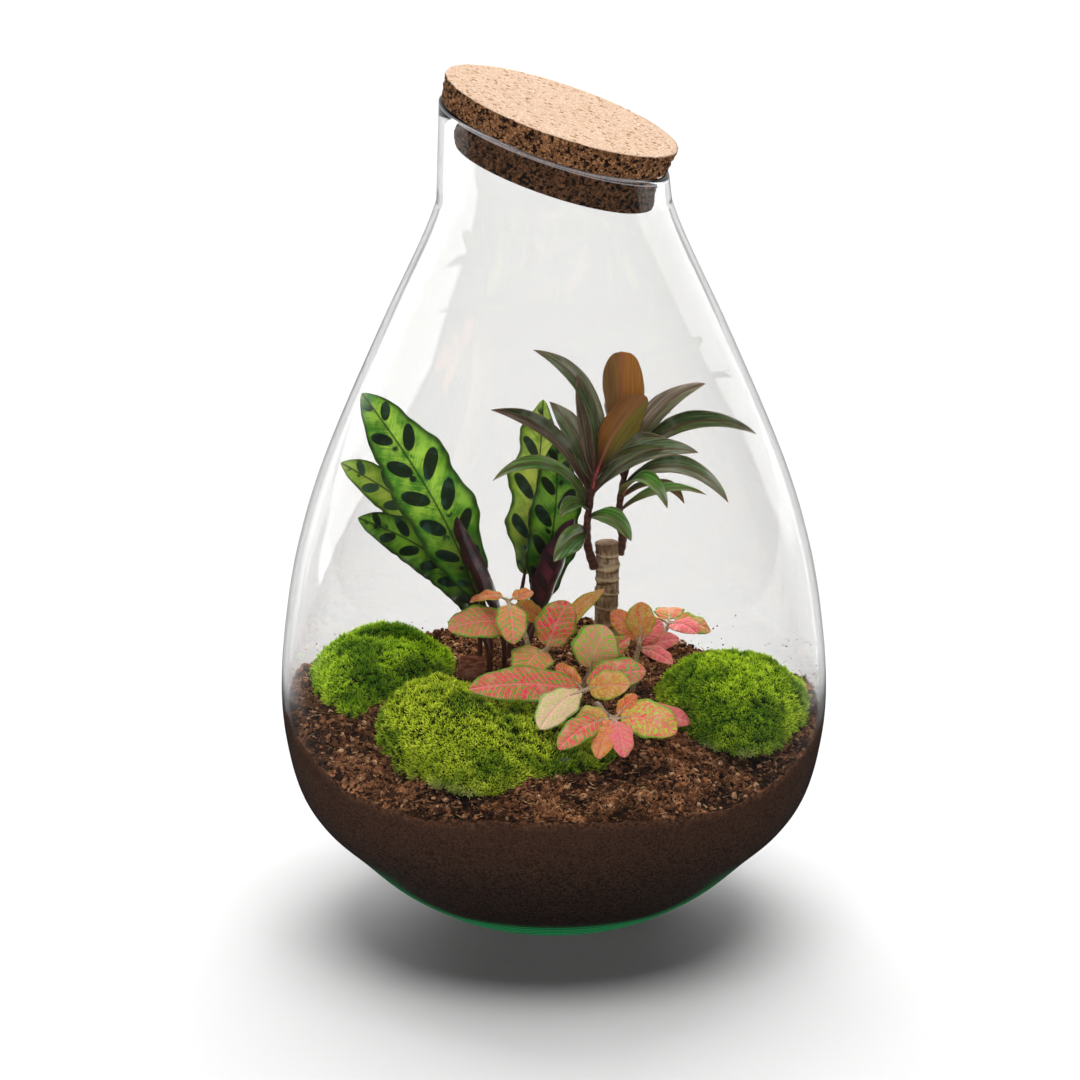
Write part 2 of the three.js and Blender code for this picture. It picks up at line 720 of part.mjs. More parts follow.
// Bark flake and pebble.
function boulder(centre, size, turn, tilt) {
  const rings = [
    [0.62, -1],
    [0.95, -0.55],
    [1, 0.1],
    [0.72, 0.75],
  ].map(([reach, height]) =>
    ringAt(10, (angle) => {
      const uneven = 1 + 0.08 * Math.sin(3 * angle + 1);
      return [
        (Math.cos(angle) * size[0] * reach * uneven) / 2,
        (Math.sin(angle) * size[1] * reach * uneven) / 2,
        (height * size[2]) / 2,
      ];
    }),
  );
  const body = ringSolid([0, 0, -size[2] / 2], rings, [0, 0, size[2] / 2]);
  return body.rotate([tilt, 0, turn]).translate(centre);
}

const chipSize = [13.5, 3, 12];
const chipPlace = [-39.5, 20, 111.5];
function chipBody(extra) {
  const body = wasm.Manifold.cube(chipSize.map((side) => side + 2 * extra), true);
  return body.rotate([-22, 6, 8]).translate(chipPlace);
}
const pebbleSize = [5.6, 4.6, 4];
const pebblePlace = [5, -83.5, 99.5];

// Stems: the curve of a fittonia stem and the holes of all the plants.
function fittoniaPath(plant) {
  return smooth(plant.stem, 2);
}

const plantHoles = [
  ...calatheaLeaves.map((leaf) => plantHole(leaf.root, 2.1, 7)),
  ...fittonias.map((plant) => plantHole(plant.stem[0], 2.6, 7)),
  plantHole(canePath[0], caneRadius + 1.4, 12),
];
const cut = [...plantHoles, ...mossCushions.map(mossPocket), chipBody(gap)];
addNode("soil", soilBlock.subtract(join(cut)), "#3b2a22", 0.95);

for (const cushion of mossCushions) {
  let body = mossBody(cushion);
  if (cushion.name === "moss_front") {
    const pocket = boulder(pebblePlace, pebbleSize.map((side) => side + 2 * gap), 20, 0);
    body = body.subtract(pocket);
  }
  addNode(cushion.name, body, cushion.color, 0.95);
}
addNode("bark_chip", chipBody(0), "#6d4233", 0.9);
addNode("pebble", boulder(pebblePlace, pebbleSize, 20, 0), "#5b6570", 0.7);

calatheaLeaves.forEach((leaf, place) => {
  const lifted = { ...leaf, root: add(leaf.root, [0, 0, 1], 10), stalk: leaf.stalk - 10 };
  const parts = [leafStalk(lifted, 1.5, 4, 5, [leaf.root]), blade(lifted)];
  const color = place === 5 || place === 6 ? "#45222b" : "#4f8a2c";
  addNode(`calathea_leaf_${place + 1}`, join(parts), color, 0.4);
});

const caneCurve = smooth(canePath, 2);
const caneRadii = caneCurve.map((point, place) => caneRadius + (place % 2 === 0 ? 0.5 : -0.25));
addNode("cordyline_cane", stalk(caneCurve, caneRadii, 12), "#8c755c", 0.8);

function shoot(stem, leaves, cane) {
  const curve = smooth(stem, 2);
  const radii = curve.map((point, place) => 2.3 - (0.9 * place) / (curve.length - 1));
  const parts = [stalk(curve, radii, 6)];
  for (const own of leaves) {
    const leaf = { ...shootLeaf, root: along(curve, own.at), ...own };
    if (leaf.stalk > 5) {
      parts.push(leafStalk(leaf, 1.2, 3, 5));
    }
    parts.push(blade(leaf));
  }
  return join(parts).subtract(cane);
}

// The shoots sit against the cane with a thin gap.
const caneClear = stalk(caneCurve, caneRadii.map((radius) => radius + gap), 12);
addNode("cordyline_left_shoot", shoot(leftStem, leftLeaves, caneClear), "#5c6650", 0.5);
addNode("cordyline_right_shoot", shoot(rightStem, rightLeaves, caneClear), "#4a5a33", 0.5);

fittonias.forEach((plant, place) => {
  const curve = fittoniaPath(plant);
  const straight = curve.map((point, step) => 1.5 - (0.5 * step) / (curve.length - 1));
  const parts = [stalk(curve, straight, 5)];
  for (const own of plant.leaves) {
    const leaf = { ...netLeaf, root: along(curve, own.at), ...own };
    parts.push(leafStalk(leaf, 0.8, leaf.stalk > 5 ? 2 : 1, 4), blade(leaf));
  }
  addNode(`fittonia_shoot_${place + 1}`, join(parts), "#c8705c", 0.5);
});

export default terrarium;
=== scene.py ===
import itertools
import math

import bpy
import numpy as np
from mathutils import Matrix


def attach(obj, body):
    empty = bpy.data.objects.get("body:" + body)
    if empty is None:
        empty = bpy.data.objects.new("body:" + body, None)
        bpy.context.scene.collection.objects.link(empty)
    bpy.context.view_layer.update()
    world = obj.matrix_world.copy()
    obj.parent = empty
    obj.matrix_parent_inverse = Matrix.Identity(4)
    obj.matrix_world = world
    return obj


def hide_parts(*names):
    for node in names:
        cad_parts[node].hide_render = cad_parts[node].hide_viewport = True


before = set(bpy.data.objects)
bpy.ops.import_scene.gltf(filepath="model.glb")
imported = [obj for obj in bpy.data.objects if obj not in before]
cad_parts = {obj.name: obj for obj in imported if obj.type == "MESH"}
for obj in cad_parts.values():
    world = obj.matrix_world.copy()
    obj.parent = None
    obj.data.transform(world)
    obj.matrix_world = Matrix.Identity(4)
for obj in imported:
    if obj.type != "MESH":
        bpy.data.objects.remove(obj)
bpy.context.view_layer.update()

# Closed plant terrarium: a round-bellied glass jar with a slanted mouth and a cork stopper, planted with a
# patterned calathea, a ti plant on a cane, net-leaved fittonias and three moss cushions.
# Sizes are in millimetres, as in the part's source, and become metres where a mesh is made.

# ---------------------------------------------------------------- camera
# The photograph looks down 16 degrees on the jar from two metres away, through a long lens that hardly draws
# it together with distance. All of it is sharp.

look_down = 16
camera_data = bpy.data.cameras.new("photo_camera")
camera_data.lens = 140.9
camera_data.sensor_width = 36
camera = bpy.data.objects.new("photo_camera", camera_data)
camera.location = (-0.0066, -1.9225, 0.7326)
camera.rotation_euler = (math.radians(90 - look_down), 0, 0)
bpy.context.collection.objects.link(camera)
bpy.context.scene.camera = camera

# ---------------------------------------------------------------- floor and light
# A wide pale floor under one softbox, with four soft suns that stand for large lit cloths around it. The room
# is dark, so that the glass stays clear. Seen in the glass, the floor is painted dark near the jar, and its
# far part glows as a band where the back wall of the jar mirrors it: painted reflections.


millimetre = 0.001
per_metre = 1000


def paint(code):
    """A colour written as on a paint card, as the red, green and blue that a shader takes."""
    parts = [int(code[place:place + 2], 16) / 255 for place in (1, 3, 5)]
    return [part / 12.92 if part <= 0.04045 else ((part + 0.055) / 1.055) ** 2.4 for part in parts] + [1]


def set_inputs(tree, made, inputs):
    """Sets a node's own inputs, each to a value or to the output that feeds it."""
    for key, value in inputs.items():
        if isinstance(value, bpy.types.NodeSocket):
            tree.links.new(value, made.inputs[key])
        else:
            made.inputs[key].default_value = value


def node(tree, kind, inputs=None, **settings):
    """One shader node with its settings and its inputs."""
    made = tree.nodes.new(kind)
    for key, value in settings.items():
        setattr(made, key, value)
    set_inputs(tree, made, inputs or {})
    return made


def finish(name):
    """A new material: its tree, its Principled shader and the material itself."""
    material = bpy.data.materials.new(name)
    material.use_nodes = True
    tree = material.node_tree
    shader = next(one for one in tree.nodes if one.type == "BSDF_PRINCIPLED")
    return tree, shader, material


def number(tree, operation, first, second=0.0, third=0.0):
    """One step of reckoning with values that change over the surface."""
    return node(tree, "ShaderNodeMath", {0: first, 1: second, 2: third}, operation=operation).outputs[0]


def times(tree, first, second):
    return number(tree, "MULTIPLY", first, second)


def plus(tree, first, second):
    return number(tree, "ADD", first, second)


def minus(tree, first, second):
    return number(tree, "SUBTRACT", first, second)


def times_plus(tree, first, second, third):
    """The product of the first two, and the third added to it."""
    return number(tree, "MULTIPLY_ADD", first, second, third)


def mix(tree, share, first, second, how="MIX"):
    """Two colours mixed by a share from 0 to 1."""
    inputs = {0: share, 6: first, 7: second}
    return node(tree, "ShaderNodeMix", inputs, data_type="RGBA", blend_type=how).outputs[2]


def spread(tree, value, low, high, to_low=0.0, to_high=1.0):
    """A value brought softly from one range to another, held at its ends."""
    inputs = {0: value, 1: low, 2: high, 3: to_low, 4: to_high}
    return node(tree, "ShaderNodeMapRange", inputs, interpolation_type="SMOOTHSTEP").outputs[0]


def where(tree):
    """The place on the object, in metres."""
    return node(tree, "ShaderNodeTexCoord").outputs["Object"]


def split(tree, place):
    """The three parts of a place."""
    return node(tree, "ShaderNodeSeparateXYZ", {0: place}).outputs


def lumps(tree, size, detail=2.0, rough=0.5, stretch=None, place=None):
    """Soft random lumps of about the given size in millimetres, from 0 to 1."""
    if place is None:
        place = where(tree)
    if stretch:
        place = node(tree, "ShaderNodeMapping", {"Vector": place, "Scale": stretch}).outputs[0]
    inputs = {"Vector": place, "Scale": per_metre / size, "Detail": detail, "Roughness": rough}
    return node(tree, "ShaderNodeTexNoise", inputs).outputs[0]


def bump(tree, shader, height, depth, strength):
    """Fine relief of the given depth in millimetres on a shader's normal."""
    inputs = {"Height": height, "Distance": depth * millimetre, "Strength": strength}
    set_inputs(tree, shader, {"Normal": node(tree, "ShaderNodeBump", inputs).outputs[0]})


black = (0, 0, 0, 1)
floor_rings = [0.02, 0.4, 1.2, 3.0, 7.0]
floor_sides = 72
floor_gap = 0.0002
floor_points = [(0, 0, 0)]
for reach in floor_rings:
    for side in range(floor_sides):
        turn = side / floor_sides * 2 * math.pi
        floor_points.append((reach * math.cos(turn), reach * math.sin(turn), 0))
floor_faces = [(0, 1 + side, 1 + (side + 1) % floor_sides) for side in range(floor_sides)]
for ring in range(len(floor_rings) - 1):
    for side in range(floor_sides):
        near = 1 + ring * floor_sides + side
        beside = 1 + ring * floor_sides + (side + 1) % floor_sides
        floor_faces.append((near, near + floor_sides, beside + floor_sides, beside))
floor_mesh = bpy.data.meshes.new("studio_floor")
floor_mesh.from_pydata(floor_points, [], floor_faces)
floor = bpy.data.objects.new("studio_floor", floor_mesh)
floor.location = (0, 0, -floor_gap)
bpy.context.collection.objects.link(floor)
tree, shader, floor_white = finish("studio_white")
white = mix(tree, lumps(tree, 300), paint("#cccccc"), paint("#d0d0d0"))
# Painted reflection: seen in the glass, the floor is painted nearly dark, but for its far part, which glows
# as one broad band along each flank where the jar's back wall mirrors it. Such a mirrored ray has gone
# through more than three faces of the glass.
path = node(tree, "ShaderNodeLightPath").outputs
mirrored = number(tree, "GREATER_THAN", path["Glossy Depth"], 0.5)
x, y, _ = split(tree, where(tree))
dim = times(tree, mirrored, spread(tree, y, 0.2, 0.45, 0.93, 0.1))
right_edge = spread(tree, times_plus(tree, y, 0.25, x), 0.198, 0.212)
left_edge = spread(tree, times_plus(tree, x, -1.15, y), 0.478, 0.5)
painted_band_right = times(tree, right_edge, spread(tree, y, 0.104, 0.118))
painted_band_left = times(tree, left_edge, spread(tree, x, 0.02, 0.0, 0.0, 0.5))
far = times(tree, plus(tree, painted_band_right, painted_band_left), mirrored)
far = times(tree, far, number(tree, "GREATER_THAN", path["Transmission Depth"], 3.5))
set_inputs(tree, shader, {
    "Base Color": mix(tree, dim, white, black), "Roughness": 0.9, "Specular IOR Level": 0.1,
    "Emission Color": mix(tree, far, black, (2.5, 2.5, 2.5, 1)), "Emission Strength": 1.0,
})
floor_mesh.materials.append(floor_white)
floor.visible_glossy = False

# The room: dark below and around, with a grey far wall and a pale ceiling. It casts no light on the plants.
world = bpy.data.worlds.new("studio")
world.use_nodes = True
bpy.context.scene.world = world
tree = world.node_tree
_, away, up = split(tree, node(tree, "ShaderNodeTexCoord").outputs["Generated"])
room = mix(tree, spread(tree, up, -0.12, 0.02), (0.02, 0.02, 0.02, 1), (0.025, 0.025, 0.026, 1))
far_wall = times(tree, spread(tree, away, 0.5, 0.88), spread(tree, up, -0.31, -0.285))
room = mix(tree, far_wall, room, (0.5, 0.5, 0.5, 1))
room = mix(tree, spread(tree, up, 0.62, 0.8), room, (0.8, 0.8, 0.8, 1))
background = next(one for one in tree.nodes if one.type == "BACKGROUND")
set_inputs(tree, background, {"Color": room, "Strength": 1.0})
world.cycles_visibility.diffuse = False

softbox_glow = 6.5
softbox_wide, softbox_deep = 1.3, 0.6
softbox_ahead, softbox_high, softbox_aim = 0.8, 1.9, 0.35
softbox_data = bpy.data.lights.new("softbox_top", "AREA")
softbox_data.shape = "RECTANGLE"
softbox_data.size, softbox_data.size_y = softbox_wide, softbox_deep
softbox_data.energy = softbox_glow * math.pi * softbox_wide * softbox_deep
softbox = bpy.data.objects.new("softbox_top", softbox_data)
softbox.location = (0.0, -softbox_ahead, softbox_high)
softbox.rotation_euler = (math.atan2(softbox_ahead, softbox_high - softbox_aim), 0, 0)
softbox.visible_diffuse = False
softbox.visible_camera = False
bpy.context.collection.objects.link(softbox)

# Even light from each side of the room, too soft to see in the glass: its strength, how wide it spreads,
# where it stands round from the front, and how far above the floor, in degrees.
for name, strength, wide, round_from_front, above in (
    ("overhead", 3.1, 50, 165, 78), ("from_behind", 4.7, 56, 183, 28),
    ("front_fill", 1.5, 46, 10, 1), ("left_fill", 1.35, 46, -55, 2),
):
    lamp_data = bpy.data.lights.new(name, "SUN")
    lamp_data.energy = strength
    lamp_data.angle = math.radians(wide)
    lamp = bpy.data.objects.new(name, lamp_data)
    lamp.rotation_euler = (math.radians(90 - above), 0, math.radians(round_from_front))
    lamp.visible_glossy = False
    lamp.visible_transmission = False
    bpy.context.collection.objects.link(lamp)
bpy.context.scene.view_settings.view_transform = "Standard"

# ---------------------------------------------------------------- glass jar
# One blown piece of clear glass: thick green foot, round belly, long cone of a shoulder and a short neck
# whose mouth is cut on a slant and fire polished. The wall is 3 mm thick.


class Pile:
    """Points and faces gathered for one piece, with the fields that its materials read."""

    def __init__(self):
        self.points, self.faces, self.finishes, self.fields, self.count = [], [], [], [], 0

    def add(self, points, faces, finish_number=0, **fields):
        """Adds points of shape (n, 3), and a list of arrays of faces that count from the first of them."""
        points = np.asarray(points, float).reshape(-1, 3)
        for group in faces:
            group = np.asarray(group, np.int64)
            self.faces.append(group + self.count)
            self.finishes.append(np.full(len(group), finish_number))
        self.points.append(points)
        self.fields.append((len(points), fields))
        self.count += len(points)

    def piece(self, name, finishes, slot, *nodes, smooth=True):
        """The finished Blender piece, riding on the jar and standing for its CAD nodes."""
        mesh = bpy.data.meshes.new(name)
        corners = np.concatenate([group.ravel() for group in self.faces])
        sizes = np.concatenate([np.full(len(group), group.shape[1]) for group in self.faces])
        mesh.vertices.add(self.count)
        mesh.vertices.foreach_set("co", (np.concatenate(self.points) * millimetre).astype(np.float32).ravel())
        mesh.loops.add(len(corners))
        mesh.loops.foreach_set("vertex_index", corners.astype(np.int32))
        mesh.polygons.add(len(sizes))
        starts = np.concatenate([[0], np.cumsum(sizes)[:-1]])
        mesh.polygons.foreach_set("loop_start", starts.astype(np.int32))
        mesh.polygons.foreach_set("material_index", np.concatenate(self.finishes).astype(np.int32))
        mesh.polygons.foreach_set("use_smooth", np.full(len(sizes), smooth))
        mesh.update(calc_edges=True)
        for key in sorted({key for _, fields in self.fields for key in fields}):
            sample = next(np.asarray(fields[key]) for _, fields in self.fields if key in fields)
            width = 1 if sample.ndim < 2 else sample.shape[1]
            kind, slot_name = {
                1: ("FLOAT", "value"), 3: ("FLOAT_VECTOR", "vector"), 4: ("FLOAT_COLOR", "color"),
            }[width]
            rows = []
            for count, fields in self.fields:
                own = np.asarray(fields.get(key, 0.0), float).reshape(-1, width if key in fields else 1)
                rows.append(np.broadcast_to(own, (count, width)))
            layer = mesh.attributes.new(key, kind, "POINT")
            layer.data.foreach_set(slot_name, np.concatenate(rows).astype(np.float32).ravel())
        for one in finishes:
            mesh.materials.append(one)
        made = bpy.data.objects.new(name, mesh)
        bpy.context.collection.objects.link(made)
        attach(made, "root")
        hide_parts(*nodes)
        return made


def unit(vectors):
    """Vectors brought to a length of one."""
    return vectors / np.linalg.norm(vectors, axis=-1, keepdims=True)


def smooth_curve(points, steps):
    """Catmull-Rom curve through a list of points, ends repeated."""
    points = np.asarray(points, float)
    last = len(points) - 1
    share = (np.arange(steps) / steps)[:, None]
    out = []
    for span in range(last):
        before, start, end = points[max(span - 1, 0)], points[span], points[span + 1]
        after = points[min(span + 2, last)]
        enter, leave = (end - before) / 2, (after - start) / 2
        cubic = (2 * start - 2 * end + enter + leave) * share ** 3
        out.append(cubic + (-3 * start + 3 * end - 2 * enter - leave) * share ** 2 + enter * share + start)
    out.append(points[-1:])
    return np.concatenate(out)


def lathe(rings, low_pole, high_pole):
    """Points and faces of a closed body: a bottom pole, rings of shape (rings, sides, 3) and a top pole."""
    rings = np.asarray(rings, float)
    count, sides = rings.shape[:2]
    points = np.concatenate([[low_pole], rings.reshape(-1, 3), [high_pole]])
    side = np.arange(sides)
    ahead = (side + 1) % sides
    level = 1 + np.arange(count - 1)[:, None] * sides
    quads = np.stack([level + side, level + ahead, level + ahead + sides, level + side + sides], axis=-1)
    first = np.stack([np.zeros(sides, int), 1 + ahead, 1 + side], axis=-1)
    top = 1 + (count - 1) * sides
    last = np.stack([np.full(sides, len(points) - 1), top + side, top + ahead], axis=-1)
    return points, [quads.reshape(-1, 4), first, last]


def even_turns(sides):
    """Angles all round, one for each side."""
    return np.arange(sides) / sides * 2 * math.pi


def round_ring(turns, radius, height, centre=(0, 0)):
    """Points all round a centre, at one radius and height or at one for each."""
    x, y = centre[0] + radius * np.cos(turns), centre[1] + radius * np.sin(turns)
    return np.stack([x, y, x * 0 + height], axis=1)


jar_profile = [
    (48, 0), (62, 6), (81, 18), (99, 34.5), (113, 48), (122, 63), (127.5, 84), (129.8, 108), (127.8, 140),
    (121.5, 178), (108.5, 221), (83, 281), (62, 326), (54.6, 345),
]
jar_wall = 3
jar_floor = 8.5
thick_base_top = 45
neck_radius = 53.2
jar_turns = even_turns(168)
# The mouth is a slanted plane: its height in the middle, and its climb towards the right and the back.
mouth_high = 375.4
mouth_right, mouth_back = -0.329, 0.0507


def mouth_plane(x, y):
    """Height of the slanted mouth over a place."""
    return mouth_high + mouth_right * x + mouth_back * y


def slanted_ring(turns, radius, below):
    """A ring that lies along the slanted mouth, the given depth below it."""
    return round_ring(turns, radius, mouth_plane(radius * np.cos(turns), radius * np.sin(turns)) - below)


def set_in(profile, depth):
    """A profile moved inward along its own normal."""
    before = np.concatenate([profile[:1], profile[:-1]])
    after = np.concatenate([profile[1:], profile[-1:]])
    step = unit(after - before)
    inward = np.stack([-step[:, 1], step[:, 0]], axis=1)
    inward[0] = (0, 1)
    return profile + inward * np.asarray(depth)[:, None]


def between(low, high, steps):
    """The rings between two others."""
    return [low + (high - low) * step / steps for step in range(1, steps)]


outer_wall = smooth_curve(jar_profile, 6)
wall_low = np.clip(1 - outer_wall[:, 1] / thick_base_top, 0, 1)
inner_wall = set_in(outer_wall, jar_wall + (jar_floor - jar_wall) * wall_low ** 1.5)
lip_round = jar_wall / 2
lip_centre = neck_radius - lip_round
lip_rings = [
    slanted_ring(jar_turns, lip_centre + lip_round * math.cos(turn), lip_round - lip_round * math.sin(turn))
    for turn in np.linspace(0, math.pi, 11)
]
outer_rings = [round_ring(jar_turns, *place) for place in outer_wall]
inner_rings = [round_ring(jar_turns, *place) for place in inner_wall][::-1]
jar_rings = [
    *outer_rings, *between(outer_rings[-1], lip_rings[0], 8), *lip_rings,
    *between(lip_rings[-1], inner_rings[0], 8), *inner_rings,
]
jar = Pile()
jar.add(*lathe(jar_rings, (0, 0, 0), (0, 0, jar_floor)))

# Clear wall and green foot. Light that only passes through to fall on the plants takes the simple way.
tree, shader, clear_glass = finish("clear_glass")
x, y, height = split(tree, where(tree))
height = times(tree, height, per_metre)
graze = node(tree, "ShaderNodeLayerWeight", {"Blend": 0.5}).outputs["Facing"]
foot_flank = times(tree, spread(tree, height, 46, 16), spread(tree, graze, 0.8, 0.95))
low = number(tree, "MAXIMUM", spread(tree, height, 18, 12), foot_flank)
tint = mix(tree, low, (0.935, 0.934, 0.927, 1), (0.08, 0.5, 0.28, 1))
# Seen along its wall the glass is dark, less so in the neck.
neck_share = spread(tree, height, 325, 350, 1.0, 0.35)
edge_on = times(tree, spread(tree, graze, 0.84, 0.98, 0.0, 0.95), neck_share)
# Painted glow: the green foot and its blowing lines give light, standing for light carried down inside the
# wall.
blow_lines = number(tree, "SINE", times(tree, height, 2.7))
painted_foot_glow = times(tree, low, spread(tree, blow_lines, -0.1, 1.0, 0.2, 1.0))
painted_foot_glow = times(tree, painted_foot_glow, spread(tree, height, 0.5, 1.6, 0.03, 1.0))
painted_glow_colour = mix(tree, painted_foot_glow, black, (0.006, 0.21, 0.062, 1))
# Painted highlight: the glass glows grey in one fine line just below the mouth, where the fire-polished lip
# would catch the light.
painted_highlight_below = 2.0
mouth = times_plus(tree, x, mouth_right * per_metre, mouth_high)
mouth = times_plus(tree, y, mouth_back * per_metre, mouth)
from_line = number(tree, "ABSOLUTE", minus(tree, minus(tree, mouth, height), painted_highlight_below))
lip_painted_highlight = times(
    tree, spread(tree, from_line, 0.05, 0.42, 1.0, 0.0), spread(tree, graze, 0.7, 0.95, 1.0, 0.0),
)
set_inputs(tree, shader, {
    "Base Color": mix(tree, edge_on, tint, paint("#3c4341")),
    "Emission Color": mix(tree, lip_painted_highlight, painted_glow_colour, (0.22, 0.22, 0.23, 1)), "Emission Strength": 1.0,
    "Transmission Weight": 1.0, "Roughness": 0.0, "IOR": 1.5,
})
bump(tree, shader, lumps(tree, 22, 1.0, 0.4, (1, 1, 0.35)), 0.12, 0.25)
through = node(tree, "ShaderNodeBsdfTransparent", {0: (0.985, 0.988, 0.985, 1)})
path = node(tree, "ShaderNodeLightPath").outputs
easy = number(tree, "MAXIMUM", path["Is Shadow Ray"], path["Is Diffuse Ray"])
either = node(tree, "ShaderNodeMixShader", {0: easy, 1: shader.outputs[0], 2: through.outputs[0]})
surface = next(one for one in tree.nodes if one.type == "OUTPUT_MATERIAL")
tree.links.new(either.outputs[0], surface.inputs["Surface"])
jar.piece("jar_glass", [clear_glass], "clear_glass", "glass_jar")

# ---------------------------------------------------------------- cork stopper
# Pressed cork granules baked into a slab and turned: a wide head over a plug. The cut top is pale and fine,
# the sides are coarse, dark and pitted.


def chance(x, y, z, seed):
    """A repeatable number from 0 to 1 for each whole-number place."""
    mixed = (x * 374761393 + y * 668265263 + z * 1440662683 + seed * 974634777) & 0xFFFFFFFF
    mixed = ((mixed ^ (mixed >> 13)) * 1274126177) & 0xFFFFFFFF
    return ((mixed ^ (mixed >> 16)) & 0xFFFF) / 65535.0


def relief(points, size, seed):
    """Smooth random lumps of about the given size, from -1 to 1."""
    scaled = np.asarray(points, float) / size
    low = np.floor(scaled).astype(np.int64)
    part = scaled - low
    part = part * part * (3 - 2 * part)
    total = 0.0
    for corner in range(8):
        step = np.array([corner & 1, corner >> 1 & 1, corner >> 2])
        weight = np.prod(np.where(step == 1, part, 1 - part), axis=-1)
        total = total + weight * chance(*(low + step).T, seed)
    return total * 2 - 1


def granules(points, size, seed):
    """Scattered granules: how far each point is from the nearest centre and from the edge, and its number."""
    scaled = np.asarray(points, float) / size
    low = np.floor(scaled).astype(np.int64)
    nearest = np.full(len(scaled), 9.0)
    second = np.full(len(scaled), 9.0)
    own = np.zeros(len(scaled))
    for step in itertools.product((-1, 0, 1), repeat=3):
        cell = low + step
        centre = cell + np.stack([chance(*cell.T, seed + axis) for axis in range(3)], axis=1)
        far = np.linalg.norm(scaled - centre, axis=1)
        closer = far < nearest
        second = np.where(closer, nearest, np.minimum(second, far))
        own = np.where(closer, chance(*cell.T, seed + 7), own)
        nearest = np.where(closer, far, nearest)
    return nearest, second - nearest, own


cork_axis = unit(np.array([-mouth_right, -mouth_back, 1.0]))
cork_across = unit(np.array([1.0, 0, 0]) - cork_axis * cork_axis[0])
cork_away = np.cross(cork_axis, cork_across)
mouth_centre = np.array([0, 0, 375.7])
cork_turns = even_turns(300)
cork_sides = len(cork_turns)
head_high = 12
plug_deep = 18


def head_ring(radius, high):
    """A ring of the cork's head, at a height over the lip."""
    east, north = np.cos(cork_turns) * radius, np.sin(cork_turns) * radius
    return mouth_centre + cork_axis * high + (np.outer(east, cork_across) + np.outer(north, cork_away))


plug_end = [slanted_ring(cork_turns, reach, plug_deep) for reach in np.linspace(4, 45.4, 14)]
plug_wall = [
    slanted_ring(cork_turns, 46.4 + 2.2 * share, 17.3 - 17.6 * share) for share in np.linspace(0, 1, 20)
]
head_under = [head_ring(reach, 0) for reach in (50.5, 52.5, 54.6)]
head_wall = [head_ring(55.4 + 1.5 * share, 0.7 + 10.8 * share) for share in np.linspace(0, 1, 16)]
head_top = [head_ring(reach, head_high) for reach in np.linspace(56.2, 1.5, 44)]
cork_rings = np.array([*plug_end, *plug_wall, *head_under, *head_wall, *head_top])
cork_points, cork_faces = lathe(cork_rings, (0, 0, 357.4), tuple(mouth_centre + cork_axis * head_high))
wall_start = 1 + len(plug_end) * cork_sides
head_start = wall_start + len(plug_wall) * cork_sides
top_start = 1 + (len(cork_rings) - len(head_top)) * cork_sides
counted = np.arange(len(cork_points))
is_top = (counted >= top_start) * 1.0
in_neck = (counted < head_start) * 1.0
is_wall = ((counted >= wall_start) & (counted < top_start)) * 1.0
core = mouth_centre + np.outer((cork_points - mouth_centre) @ cork_axis, cork_axis)
outward = cork_points - core
outward /= np.linalg.norm(outward, axis=1, keepdims=True) + 1e-9
round_off, seam, own = granules(cork_points, 2.7, 11)
pitting = 1.3 * round_off ** 2 + 0.7 * np.exp(-seam * 9) + 0.7 * (own > 0.86)
pitting = pitting + 0.5 * (relief(cork_points, 1.6, 4) + 1)
cork_points = cork_points - outward * (is_wall * pitting * 0.85)[:, None]
top_seam = np.exp(-granules(cork_points, 2.6, 31)[1] * 10)
top_pits = 0.16 * top_seam + 0.07 * (relief(cork_points, 1.5, 5) + 1)
cork_points = cork_points - np.outer(is_top * top_pits, cork_axis)
cork = Pile()
cork.add(cork_points, cork_faces, 0, cut_face=is_top, in_neck=in_neck)


def effect_group(name, inputs, build):
    """A shader effect as a node group, with named inputs, their usual values and named outputs."""
    group = bpy.data.node_groups.new(name, "ShaderNodeTree")
    for label, value in inputs.items():
        kind = {1: "NodeSocketFloat", 3: "NodeSocketVector", 4: "NodeSocketColor"}[np.size(value)]
        group.interface.new_socket(label, in_out="INPUT", socket_type=kind).default_value = value
    made = build(group, group.nodes.new("NodeGroupInput").outputs)
    for label, output in made.items():
        kind = "NodeSocketColor" if output.type == "RGBA" else "NodeSocketFloat"
        group.interface.new_socket(label, in_out="OUTPUT", socket_type=kind)
    set_inputs(group, group.nodes.new("NodeGroupOutput"), made)
    return group


def effect(tree, group, inputs):
    """An effect placed in a material with its own values."""
    return node(tree, "ShaderNodeGroup", inputs, node_tree=group).outputs


def granule_tones(group, given):
    """Colour and height of scattered granules or crumbs, three tones with dark joints between them."""
    warp = node(group, "ShaderNodeTexNoise", {"Vector": given["Place"], "Scale": 900.0, "Detail": 2.0})
    pushed = node(group, "ShaderNodeVectorMath", {0: warp.outputs[1], 1: (0.0016,) * 3}, operation="MULTIPLY")
    place = node(group, "ShaderNodeVectorMath", {0: given["Place"], 1: pushed.outputs[0]}, operation="ADD")
    grains = {"Vector": place.outputs[0], "Scale": given["Size"]}
    tone = node(group, "ShaderNodeTexVoronoi", grains).outputs["Color"]
    tone = node(group, "ShaderNodeSeparateColor", {0: tone}).outputs
    joint = node(group, "ShaderNodeTexVoronoi", grains, feature="DISTANCE_TO_EDGE").outputs[0]
    pale = mix(group, tone[0], given["Middle"], given["Light"])
    burnt = number(group, "LESS_THAN", tone[1], given["Dark share"])
    gap = spread(group, joint, 0.0, 0.09, 0.75, 0.0)
    shade = mix(group, number(group, "MAXIMUM", burnt, gap), pale, given["Dark"])
    return {"Color": shade, "Height": spread(group, joint, 0.0, 0.35)}


granule_mottle = effect_group("granule_mottle", {
    "Place": (0, 0, 0), "Size": 300.0, "Light": (0.5, 0.35, 0.2, 1), "Middle": (0.4, 0.25, 0.1, 1),
    "Dark": (0.1, 0.05, 0.02, 1), "Dark share": 0.2,
}, granule_tones)


